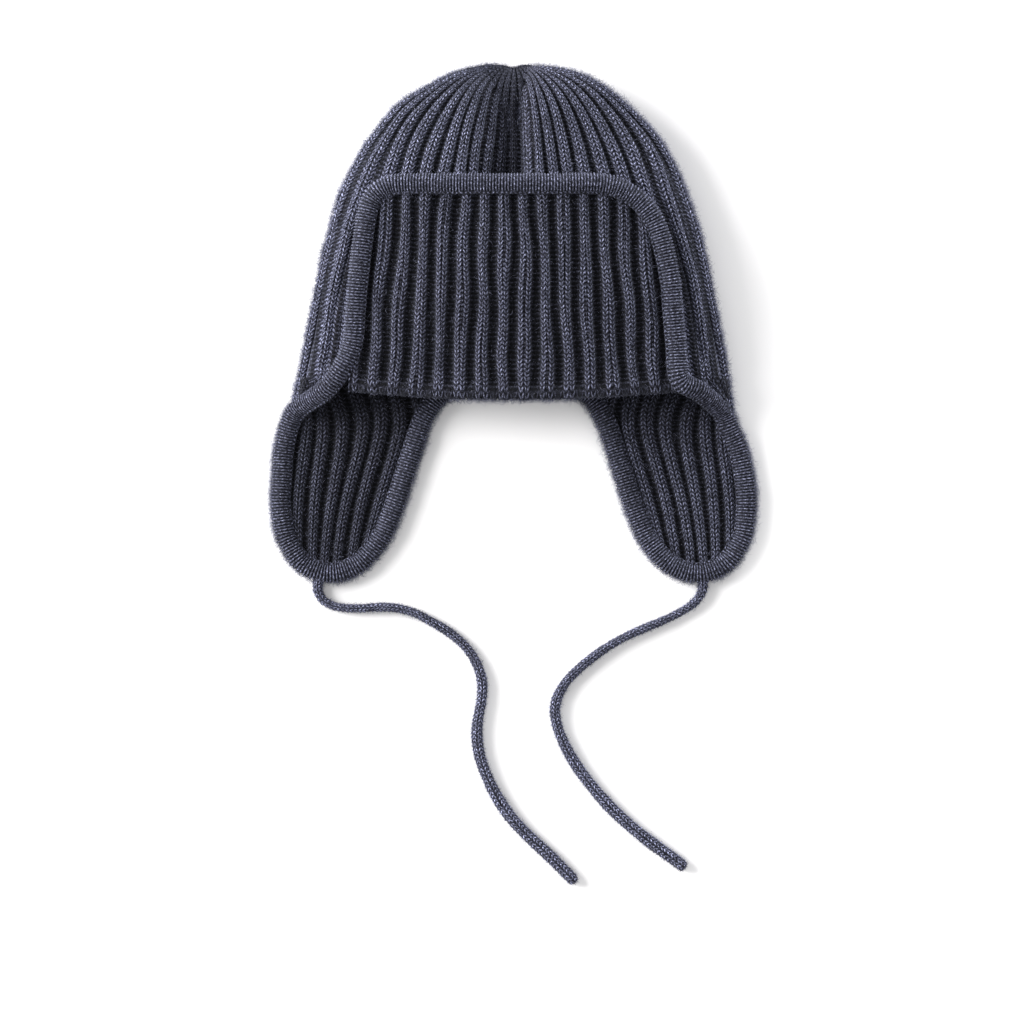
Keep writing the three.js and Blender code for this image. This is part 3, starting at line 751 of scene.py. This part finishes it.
def yarn_material(name, colours, gain, across):
    """Heathered wool: stitches, the yarn's fibres and a soft nap, with painted shade between the stitches and
    in the rib valleys, and a lightness per piece that is painted light and shade. across is for ridges across
    a binding.
    """
    graph = Graph(name)
    place = graph.add("TexCoord").outputs["Object"]
    knit = graph.add("SeparateXYZ", {0: graph.add("UVMap", uv_map="Knit").outputs[0]})
    crest = graph.add("Attribute", attribute_name="crest").outputs["Fac"]
    wale, row = knit.outputs[0], knit.outputs[1]
    if across:
        slant = graph.math("SUBTRACT", row, graph.math("PINGPONG", graph.math("ADD", wale, 0.5), 1.0))
        leg = graph.scaled(graph.math("PINGPONG", slant, 0.5), 1.0, 0.5)
        edge = graph.math("SUBTRACT", 1.0, graph.hill(wale))
    else:
        off = graph.hill(wale)
        slant = graph.math("SUBTRACT", row, off)
        leg = graph.math("POWER", graph.hill(slant), 0.8)
        edge = graph.math("SUBTRACT", 1.0, graph.math("POWER", off, 4.0))
        edge = graph.times(edge, graph.scaled(graph.ramp(off, 0.0, 0.3), 0.6, 0.4))
    stitch = graph.times(leg, edge)
    purl = graph.times(graph.hill(graph.math("ADD", row, 0.25)), 0.8)
    form = graph.add("Mix", {0: graph.ramp(crest, 0.15, 0.4), 2: purl, 3: stitch}).outputs[0]
    lie = graph.add("CombineXYZ", {0: graph.times(slant, 7.0), 1: graph.times(wale, 2.4)}).outputs[0]
    strands = graph.noise(lie, 1.0, 3.0)
    heather = graph.noise(place, 560.0, 3.0)
    specks = graph.noise(place, 1500.0)
    blotches = graph.noise(place, 60.0)
    colour = graph.mix(graph.ramp(heather, 0.38, 0.62), rgba(colours.dark), rgba(colours.yarn))
    for fibres, low, high, most in ((specks, 0.5, 0.68, 0.8), (strands, 0.48, 0.7, 0.5)):
        colour = graph.mix(graph.times(graph.ramp(fibres, low, high), most), colour, rgba(colours.light))
    # Painted shade: the colour is darkened in the gaps between the stitches' legs and between the wales,
    # where the knit lies in shade
    shade = graph.scaled(graph.math("POWER", graph.ramp(form, 0.1, 0.85), 1.8), 0.96, 0.04)
    # Painted shade in the rib valleys: the colour is darker where the crest attribute is low, and that
    # attribute also carries the painted shade of the crease, the fold and the flaps' tops
    height = graph.math("POWER", graph.ramp(crest, 0.0, 1.0), 1.2)
    shade = graph.times(shade, graph.scaled(height, 0.92, 0.12))
    # The random blotches are the yarn's own tone; the piece's gain multiplies them and is painted light and
    # shade
    shade = graph.times(shade, graph.scaled(blotches, 0.5 * gain, 0.75 * gain))
    grey = graph.add("CombineColor", {0: shade, 1: shade, 2: shade}).outputs[0]
    colour = graph.mix(1.0, colour, grey, "MULTIPLY")
    fibres = graph.math("ADD", strands, graph.times(specks, 0.8))
    bump = graph.bump(form, 1.0, 0.0005)
    sockets = {
        "Roughness": 0.95,
        "Specular IOR Level": 0.15,
        "Sheen Weight": 0.15,
        "Sheen Roughness": 0.5,
        "Sheen Tint": rgba((0.62, 0.66, 0.85)),
        "Normal": graph.bump(fibres, 0.8, 0.00025, Normal=bump),
    }
    return graph.surface(colour, sockets)


def fibre_material(name, colours):
    graph = Graph(name)
    place = graph.add("TexCoord").outputs["Object"]
    pale = graph.times(graph.noise(place, 300.0), 0.45)
    colour = graph.mix(pale, rgba(colours.yarn), rgba(colours.light))
    return graph.surface(colour, {"Roughness": 0.8, "Specular IOR Level": 0.2, "Sheen Weight": 0.2})


def floor_material(colours):
    graph = Graph("floor")
    place = graph.add("TexCoord").outputs["Object"]
    duller = rgba([share * 0.99 for share in colours.floor])
    colour = graph.mix(graph.noise(place, 30.0), rgba(colours.floor), duller)
    return graph.surface(colour, {"Roughness": 0.9, "Specular IOR Level": 0.1})


# Pieces


def knitted(shell, name, yarn, node=None):
    """Builds a piece, which takes the place of its solid where it has one."""
    obj = shell.build(name, bpy.data.materials[yarn])
    if node:
        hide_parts(node)
    return obj


def rim_pull(rib, rise):
    """From 0 to 1: how much of the notch's pull the crown's rim takes at a rib."""
    past = np.abs(np.mod(rib + CROWN_RIBS / 2, CROWN_RIBS) - CROWN_RIBS / 2) - PEAK_HALF_RIBS
    grown = smooth((past - PULL["from"]) / PULL["grows"]) * smooth((PULL["none"] - past) / PULL["fades"])
    return grown * np.exp(-((rise / PULL["height"]) ** 2))


def crown_half(knit, name, first, per_rib, per_row):
    """Half of the crown, from one side to the other, knitted outside and inside."""
    yarn = Yarn(knit, knit.seed)
    ribs = rib_places(first, first + CROWN_RIBS / 2, per_rib)
    rows = int(CROWN_HEIGHT / knit.row * per_row)
    base, run = evened(crown_points(ribs, np.linspace(PAST_RIM, CROWN_END, 400)), rows)
    rise = (base[..., 1] - RIM_Y) / CROWN_HEIGHT
    rib = np.broadcast_to(ribs, rise.shape)
    across = np.gradient(base, axis=1) / np.gradient(ribs)[:, None]
    pitch = np.linalg.norm(np.cross(across, unit(np.gradient(base, axis=0))), axis=-1)
    squeeze = np.clip(pitch / RIB_PITCH, 0.05, 1)
    x, y = base[..., 0], base[..., 1]
    pull = rim_pull(rib, rise)
    drop = pull * np.where(x < 0, NOTCH[-1]["drop"], NOTCH[1]["drop"])
    row = (run - drop) / knit.row
    share = CREST_SHARE + UPPER_CREST_GAIN * smooth((rise - 0.3) / 0.4)
    wander = 0.04 * np.sin(0.13 * row + 1.7 * np.round(rib)) + 0.05 * sway(x, y, 1.0) * squeeze
    depth = knit.rib_depth * squeeze**0.5
    offset, crest, coordinates = yarn.rib(rib + wander, row, depth, knit.stitch * squeeze, share)
    offset = offset + SLACK * sway(x, y, 2.0) * smooth(base[..., 2] / 0.01)
    outside = base + normals(base) * offset[..., None]
    outside[..., 0] += pull * np.where(x < 0, -NOTCH[-1]["flare"], NOTCH[1]["flare"])
    outside[..., 1] -= drop
    outside[..., 2] *= 1 - PULL["sink"] * pull
    dip = APEX["dip"] * np.exp(-(((x - APEX["dip_x"]) / APEX["dip_half"]) ** 2))
    bumps = APEX["bump"] * (crest - 0.8) - dip
    outside[..., 1] += smooth((rise - APEX["from"]) / APEX["over"]) * bumps
    drawn = smooth((np.linspace(0, 1, len(outside)) - DRAWN["from"]) / DRAWN["over"])[:, None]
    outside[..., 2] += drawn * (section(CROWN_END)[3] - outside[..., 2])
    # Painted shade in the crease: the crests, and so the colour, are darkened where the crease is deep
    crest = crest * (1 - 0.7 * crease_depth(x, y, DEEPENING) / DEEPENING["depth"])
    shell = Shell()
    over = shell.grid(outside, coordinates, crest, band=(0.12, 1.0))
    low_rises = np.linspace(PAST_RIM, 0.97, 36)
    low_ribs = first + np.linspace(0, CROWN_RIBS / 2, int(CROWN_RIBS / 2 * 4) + 1)
    inside = crown_points(low_ribs, low_rises, FABRIC)
    rib, rise = np.meshgrid(low_ribs, low_rises)
    row = rise * CROWN_HEIGHT / knit.row
    offset, crest, coordinates = yarn.rib(rib + 0.5, row, knit.rib_depth * 0.6, knit.stitch * 0.5)
    inside = inside - normals(inside) * offset[..., None]
    under = shell.grid(inside, coordinates, crest, flip=True, band=(0.0, 0.11))
    shell.close(over, under)
    knitted(shell, name, "crown knit", "crown")


def peak(knit):
    yarn = Yarn(knit, knit.seed + 1)
    reach = 0.0
    while rim_at(np.array(reach + 0.02))[0] < 0.998 * PEAK_HALF_WIDTH:
        reach += 0.02

    def grid(per_rib, count):
        ribs = rib_places(-reach, reach, per_rib, 0.5)
        x0 = rim_at(ribs)[0]
        inner = fold_at(x0) - FLAP_Y - math.pi * FOLD_TURN / 2 - 0.0006
        outer = peak_end(x0 * (1 - PEAK_TAPER)) - fold_at(x0) + math.pi * FOLD_TURN / 2
        t = np.linspace(0, 1, count + 1)[:, None]
        run = inner * (1 - t) + outer * t
        return np.broadcast_to(ribs, run.shape), run

    def relief(rib, run, shift):
        near_fold = np.exp(-(((run - 0.0005) / 0.004) ** 2))
        depth = knit.rib_depth * (1 - 0.75 * near_fold)
        row = run / knit.row
        whole = np.round(rib)
        wander = 0.05 * np.sin(0.11 * row + 2.1 * whole) + 0.03 * np.sin(0.31 * row + 0.9 * whole)
        share = PEAK_CREST_SHARE + 0.03 * np.sin(2.9 * np.round(rib + shift))
        offset, crest, coordinates = yarn.rib(rib + shift + wander, row, depth, knit.stitch, share)
        offset = offset + 0.0009 * np.exp(-((run / 0.003) ** 2))
        # Painted shade along the fold: the crests are darkened there, and the valleys' painted shade is eased
        # as the ribs flatten
        crest = crest * (1 - 0.25 * near_fold) + 0.34 * near_fold * (1 - crest)
        return offset, crest, coordinates

    rib, run = grid(18, int((PEAK_HEIGHT + 0.012) / knit.row * 5))
    points = peak_points(rib, run)
    drift = 0.05 * sway(points[..., 0], points[..., 1], 3.0) * smooth(run / 0.02)
    offset, crest, coordinates = relief(rib + drift, run, 0.5)
    offset = offset + PEAK_SLACK * sway(points[..., 0], points[..., 1], 5.0) * smooth(run / 0.02)
    outside = points + normals(points) * (FABRIC / 2 + offset)[..., None]
    shell = Shell()
    over = shell.grid(outside, coordinates, crest, band=(0.1, 1.0))
    rib, run = grid(4, 52)
    points = peak_points(rib, run)
    offset, crest, coordinates = relief(rib, run, 0.0)
    inside = points - normals(points) * (FABRIC / 2 + 0.6 * offset)[..., None]
    under = shell.grid(inside, coordinates, crest, flip=True, band=(0, 0.09))
    shell.close(over, under)
    obj = knitted(shell, "peak_knit", "peak knit", "peak")


def ear_flap(knit, side):
    yarn = Yarn(knit, knit.seed + 2 + side)
    hand = "right" if side > 0 else "left"
    first = 0.5 - flap_half(0.35) / (2 * flap_rib_half(0.35))

    def layer(per_rib, count, shift, out):
        """One side of the flap's knit: its points, how far down they lie, stitch coordinates and crests,
        which are darkened towards the rim as painted shadow under the peak's fold.
        """
        s = rib_places(first * FLAP_RIBS, FLAP_RIBS + 1, per_rib) / FLAP_RIBS
        ends = np.array([flap_end(float(v)) for v in s])
        ends = np.convolve(np.pad(ends, 2, mode="edge"), np.full(5, 0.2), mode="valid")
        t = np.linspace(0, 1, count + 1)[:, None]
        down = PAST_RIM * (1 - t) + ends * t
        s = np.broadcast_to(s, down.shape)
        row = down * FLAP_LENGTH / knit.row
        wander = 0.05 * np.sin(0.13 * row + 1.9 * np.round(s * FLAP_RIBS))
        rib = PEAK_HALF_RIBS + s * FLAP_RIBS + shift + wander
        depth = knit.rib_depth * (0.35 + 0.65 * (1 - RIB_CLOSING * down))
        offset, crest, coordinates = yarn.rib(rib, row, depth, knit.stitch, FLAP_CREST_SHARE)
        points = flap_points(s, down)
        points = (points + out * normals(points) * (FABRIC / 2 + offset)[..., None]) * (side, 1, 1)
        # The crests are darkened towards the rim: painted shadow under the peak's fold
        return points, down, coordinates, crest * (0.45 + 0.55 * smooth(down / 0.5))

    shell = Shell()
    points, down, coordinates, crest = layer(16, int(FLAP_LENGTH / knit.row * 4.5), 0.5, 1)
    points[..., 2] -= FLAP_SINK * smooth(down / 0.3)
    over = shell.grid(points, coordinates, crest, flip=side < 0, band=(0.3, 1.0))
    points, _, coordinates, crest = layer(8, 80, 0.0, -1)
    under = shell.grid(points, coordinates, crest, flip=side > 0, band=(0.0, 0.28))
    shell.close(over, under, flip=side < 0)
    node = "ear_flap_" + hand
    obj = knitted(shell, node + "_knit", hand + " flap knit", node)


def tube(path, closed, steps, sides, radii, relief, yarn, wales_along=None, rows_round=None):
    """Points of a knitted tube, their stitch coordinates, its length and its middle. The wales run across the
    path where their number along it is given, and else along it, as on a tie."""
    at, tangent, length = along(path, steps, closed)
    across = unit(np.cross(tangent, (0, 0, 1.0)))
    out = unit(np.cross(across, tangent))
    turn = 2 * np.pi * np.arange(sides) / sides
    place = np.arange(steps)[:, None] / (steps if closed else steps - 1) * np.ones((1, sides))
    around = np.broadcast_to(turn / (2 * np.pi), place.shape)
    if wales_along:
        wale, row_at = place * wales_along, around * rows_round
    else:
        wale, row_at = around * TIE_WALES, place * length / TIE_ROW
    offset = relief * ((yarn.ridges if wales_along else yarn.legs)(wale, row_at) - 0.9)
    wide, thick = radii(place)
    ring = (wide + offset)[..., None] * np.cos(turn)[None, :, None] * across[:, None, :]
    ring = ring + (thick + offset)[..., None] * np.sin(turn)[None, :, None] * out[:, None, :]
    return at[:, None, :] + ring, np.stack([wale, row_at], axis=-1), length, at


def ring_shell(path, radii, relief, yarn, wales, rows):
    """A knitted tube round a closed path, with its wales across it."""
    points, coordinates, _, _ = tube(path, True, 4 * wales, 2 * rows, radii, relief, yarn, wales, rows)
    shell = Shell()
    shell.grid(points, coordinates, np.ones(points.shape[:2]), wrap=(0, rows), loop=(wales, 0), flip=True)
    return shell


def binding(knit):
    yarn = Yarn(knit, knit.seed + 5)
    path = binding_path()
    _, _, length = along(path, 10, True)
    wales = 2 * int(round(length / knit.binding_wale / 2))

    def radii(place):
        swell = 1 + 0.02 * np.sin(2 * np.pi * 9 * place + 1) + 0.015 * np.sin(2 * np.pi * 23 * place)
        return (BINDING_WIDTH / 2 + 0.0006) * swell, (BINDING_THICKNESS / 2 + 0.0004) * swell

    shell = ring_shell(path, radii, BINDING_RELIEF, yarn, wales, BINDING_ROWS)
    knitted(shell, "binding_knit", "binding knit", "edge_binding")


def chain(knit):
    """The line of linked stitches along the binding's inner side."""
    yarn = Yarn(knit, knit.seed + 6)
    at, tangent, length = along(binding_path(), 1500, True)
    across = unit(np.cross(tangent, (0, 0, 1.0)))
    path = at - across * (BINDING_WIDTH / 2 + 0.0002)
    path[:, 2] += np.where(at[:, 2] > 2 * BINDING_THICKNESS, 0.0008, 0.0006)
    links = int(length / CHAIN["link"])

    def radii(place):
        bead = 0.55 + 0.45 * np.abs(np.sin(np.pi * links * place))
        return CHAIN["radius"] * bead, CHAIN["radius"] * bead

    shell = ring_shell(path, radii, CHAIN["relief"], yarn, links, CHAIN["rows"])
    knitted(shell, "linking_chain", "binding knit")


def tie(knit, name, route, seed):
    yarn = Yarn(knit, seed)
    lift = TIE_DIAMETER / 2 + CLEARANCE / 3
    points = [(x, y, lift) for x, y in route]
    first = np.array(points[0]) + (0, 0.0022, 0.0002)
    path = curve_through([first, *points], False)
    _, _, length = along(path, 10, False)

    def radii(place):
        swell = 0.82 + 0.03 * np.sin(2 * np.pi * 7 * place + seed) + 0.34 * smooth((place - 0.15) / 0.7)
        start = 1 + 0.3 * np.exp(-((place / 0.03) ** 2))
        blunt = np.sqrt(np.clip(1 - ((place - 0.988) / 0.0125).clip(0) ** 2, 0.04, 1))
        radius = (TIE_DIAMETER / 2 - 0.00005) * swell * start * blunt
        return radius, np.minimum(radius, lift)

    steps = int(length / TIE_ROW * 6)
    ring, coordinates, length, centres = tube(path, False, steps, 4 * TIE_WALES, radii, TIE_RELIEF, yarn)
    shell = Shell()
    ids = shell.grid(ring, coordinates, np.ones(ring.shape[:2]), wrap=(TIE_WALES, 0), flip=True)
    shell.cap(ids[0], centres[0])
    shell.cap(ids[-1], centres[-1], flip=True)
    obj = knitted(shell, name + "_knit", "tie knit", name)


def faces_of(name):
    """The areas, centres and normals of a piece's faces."""
    mesh = bpy.data.objects[name].data
    count = len(mesh.polygons)
    areas, centres, facing = np.zeros(count), np.zeros(3 * count), np.zeros(3 * count)
    mesh.polygons.foreach_get("area", areas)
    mesh.polygons.foreach_get("center", centres)
    mesh.polygons.foreach_get("normal", facing)
    return areas, centres.reshape(-1, 3), facing.reshape(-1, 3)


def near_edge(places, cell=0.0005, reach=3):
    """How much of the hat lies round each place, seen from above, and the way out to its outline."""
    low = places[:, :2].min(axis=0) - 4 * reach * cell
    spots = ((places[:, :2] - low) / cell).astype(int)
    cover = np.zeros(spots.max(axis=0) + 4 * reach)
    cover[spots[:, 0], spots[:, 1]] = 1
    for around, limit in ((1, 0.01), (1, 0.99), (reach, None)):
        for axis in (0, 1):
            shifts = range(-around, around + 1)
            cover = sum(np.roll(cover, shift, axis) for shift in shifts) / len(shifts)
        if limit:
            cover = (cover > limit).astype(float)
    slopes = np.stack(np.gradient(cover), axis=-1)[spots[:, 0], spots[:, 1]]
    return cover[spots[:, 0], spots[:, 1]], -unit(slopes)


def nap(knit, name, rests, bent):
    """Loose fibres that stand off the knit: short straight spikes, or long hairs bent in their middle."""
    draw = np.random.default_rng(knit.seed + len(name))
    areas, centres, facing = (np.concatenate(values) for values in zip(*(faces_of(rest) for rest in rests)))
    on_tie = centres[:, 1] < FLAP_Y - FLAP_LENGTH - BINDING_WIDTH / 2
    areas[on_tie] *= TIE_FIBRE_SHARE
    cover, way_out = near_edge(centres)
    edge = cover < EDGE_COVER
    flat = np.concatenate([way_out, np.zeros((len(cover), 1))], axis=1)
    facing = np.where(edge[:, None], unit(facing * 0.5 + flat), facing)
    count = knit.hairs if bent else knit.spikes
    roots, faces, shares = [], [], []
    for group, share in ((edge, EDGE_SHARE), (~edge & (facing[:, 2] > -0.2), 1 - EDGE_SHARE)):
        weights = areas * group
        chosen = draw.choice(len(areas), int(count * share), p=weights / weights.sum())
        roots.append(centres[chosen])
        faces.append(facing[chosen])
        shares.append(np.where(on_tie[chosen], TIE_FIBRE_LENGTH, 1.0))
    root, out, share = np.concatenate(roots), np.concatenate(faces), np.concatenate(shares)[:, None]
    count = len(root)
    side = unit(np.cross(out, draw.normal(size=(count, 3))))
    rise = 0.3 + 1.2 * draw.random((count, 1))
    across = unit(np.cross(side, out))
    thick = (0.00004 + 0.00004 * draw.random((count, 1))) * (0.4 + 0.6 * share)
    if bent:
        length = knit.hair_length * share * (0.3 + 0.7 * draw.random((count, 1)) ** 2)
        middle = root + length * 0.5 * unit(side + out * rise * 1.3)
        tip = middle + length * 0.5 * unit(side + out * (rise - 0.6) + 0.5 * draw.normal(size=(count, 3)))
        ends = ((0, 1, 2), (0, 2, 3), (0, 3, 1), (4, 2, 1), (4, 3, 2), (4, 1, 3))
    else:
        length = knit.spike_length * share * (0.35 + 0.65 * draw.random((count, 1)))
        middle = root - out * 0.0001
        tip = root + length * unit(side + out * rise * 1.5)
        ends = ((1, 2, 3), (1, 4, 2), (2, 4, 3), (3, 4, 1))
    ring = [middle + thick * (across * math.cos(turn) + out * math.sin(turn)) for turn in (0.0, 2.1, 4.2)]
    points = np.stack([root - out * 0.0002, *ring, tip], axis=1)[:, 0 if bent else 1 :]
    points[..., 2] = np.maximum(points[..., 2], LOWEST / 2)
    each = points.shape[1]
    blank = np.zeros((count * each, 2))
    shell = Shell()
    ids = shell.add(points.reshape(-1, 3), blank, blank, np.ones(count * each)).reshape(count, each)
    shell.tris = np.concatenate([ids[:, [corner - 5 + each for corner in face]] for face in ends])
    knitted(shell, name, "loose fibres")


def light(name, place, size, watts, colour):
    """A round lamp that faces the hat."""
    data = bpy.data.lights.new(name, "AREA")
    data.shape = "DISK"
    data.size = size
    data.energy = watts
    data.color = colour
    obj = bpy.data.objects.new(name, data)
    obj.location = place
    ahead = unit(-np.array(place))
    obj.rotation_euler = (math.acos(-ahead[2]), 0, math.atan2(ahead[1], ahead[0]) - math.pi / 2)
    bpy.context.scene.collection.objects.link(obj)
    return obj


def stage(scene):
    mesh = bpy.data.meshes.new("floor")
    corners = [(x * FLOOR_HALF, y * FLOOR_HALF, 0) for x, y in ((-1, -1), (1, -1), (1, 1), (-1, 1))]
    mesh.from_pydata(corners, [], [(0, 1, 2, 3)])
    floor = bpy.data.objects.new("floor", mesh)
    scene.collection.objects.link(floor)
    mesh.materials.append(floor_material(scene.hat_colours))
    lights = [light(name, **facts) for name, facts in LIGHTS.items()]
    world = scene.world or bpy.data.worlds.new("studio")
    scene.world = world
    world.use_nodes = True
    background = world.node_tree.nodes["Background"]
    background.inputs[0].default_value = (1.0, 1.0, 1.0, 1.0)
    background.inputs[1].default_value = WORLD_STRENGTH
    data = bpy.data.cameras.new("camera")
    data.lens = CAMERA_LENS
    data.sensor_width = 36
    camera = bpy.data.objects.new("camera", data)
    camera.location = CAMERA_PLACE
    scene.collection.objects.link(camera)
    scene.camera = camera
    scene.view_settings.view_transform = "Standard"


class HAT_OT_yarns(bpy.types.Operator):
    """Make the yarns' materials"""

    bl_idname = "hat.yarns"
    bl_label = "Yarns"

    def execute(self, context):
        colours = context.scene.hat_colours
        for name, gain in YARN_GAINS_PAINTED_LIGHT.items():
            yarn_material(name, colours, gain, across=name == "binding knit")
        fibre_material("loose fibres", colours)
        return {"FINISHED"}


class HAT_OT_crown(bpy.types.Operator):
    """Knit the front and the back of the crown"""

    bl_idname = "hat.crown"
    bl_label = "Crown"

    def execute(self, context):
        crown_half(context.scene.hat_knit, "crown_front_knit", -CROWN_RIBS / 4, 16, 4)
        crown_half(context.scene.hat_knit, "crown_back_knit", CROWN_RIBS / 4, 8, 2)
        return {"FINISHED"}


class HAT_OT_peak(bpy.types.Operator):
    """Knit the turned-up peak"""

    bl_idname = "hat.peak"
    bl_label = "Peak"

    def execute(self, context):
        peak(context.scene.hat_knit)
        return {"FINISHED"}


class HAT_OT_ear_flaps(bpy.types.Operator):
    """Knit the two ear flaps"""

    bl_idname = "hat.ear_flaps"
    bl_label = "Ear flaps"

    def execute(self, context):
        ear_flap(context.scene.hat_knit, -1)
        ear_flap(context.scene.hat_knit, 1)
        return {"FINISHED"}


class HAT_OT_binding(bpy.types.Operator):
    """Knit the binding round the edge, with its chain of linked stitches"""

    bl_idname = "hat.binding"
    bl_label = "Binding"

    def execute(self, context):
        binding(context.scene.hat_knit)
        chain(context.scene.hat_knit)
        return {"FINISHED"}


class HAT_OT_ties(bpy.types.Operator):
    """Knit the two ties"""

    bl_idname = "hat.ties"
    bl_label = "Ties"

    def execute(self, context):
        tie(context.scene.hat_knit, "tie_left", LEFT_TIE, 31)
        tie(context.scene.hat_knit, "tie_right", RIGHT_TIE, 37)
        return {"FINISHED"}


class HAT_OT_nap(bpy.types.Operator):
    """Scatter the loose fibres of the nap over the knit"""

    bl_idname = "hat.nap"
    bl_label = "Nap"

    def execute(self, context):
        rests = (
            "crown_front_knit", "crown_back_knit", "peak_knit", "binding_knit",
            "ear_flap_left_knit", "ear_flap_right_knit", "tie_left_knit", "tie_right_knit",
        )
        nap(context.scene.hat_knit, "short_nap", rests, False)
        nap(context.scene.hat_knit, "long_nap", rests, True)
        return {"FINISHED"}


class HAT_OT_stage(bpy.types.Operator):
    """Set the floor, the lights and the camera"""

    bl_idname = "hat.stage"
    bl_label = "Stage"

    def execute(self, context):
        stage(context.scene)
        return {"FINISHED"}


STEPS = (
    HAT_OT_yarns,
    HAT_OT_crown,
    HAT_OT_peak,
    HAT_OT_ear_flaps,
    HAT_OT_binding,
    HAT_OT_ties,
    HAT_OT_nap,
    HAT_OT_stage,
)


class HAT_PT_panel(bpy.types.Panel):
    """Lists the steps that build the hat"""

    bl_label = "Aviator hat"
    bl_idname = "HAT_PT_panel"
    bl_space_type = "VIEW_3D"
    bl_region_type = "UI"
    bl_category = "Hat"

    def draw(self, context):
        for group in (context.scene.hat_knit, context.scene.hat_colours):
            for name in group.__annotations__:
                self.layout.prop(group, name)
        for step in STEPS:
            self.layout.operator(step.bl_idname)


CLASSES = (HatKnit, HatColours, *STEPS, HAT_PT_panel)


def register():
    for cls in CLASSES:
        bpy.utils.register_class(cls)
    bpy.types.Scene.hat_knit = PointerProperty(type=HatKnit)
    bpy.types.Scene.hat_colours = PointerProperty(type=HatColours)


def unregister():
    del bpy.types.Scene.hat_knit
    del bpy.types.Scene.hat_colours
    for cls in reversed(CLASSES):
        bpy.utils.unregister_class(cls)


def main():
    register()
    for step in STEPS:
        group, name = step.bl_idname.split(".")
        getattr(getattr(bpy.ops, group), name)()


if __name__ == "__main__":
    main()
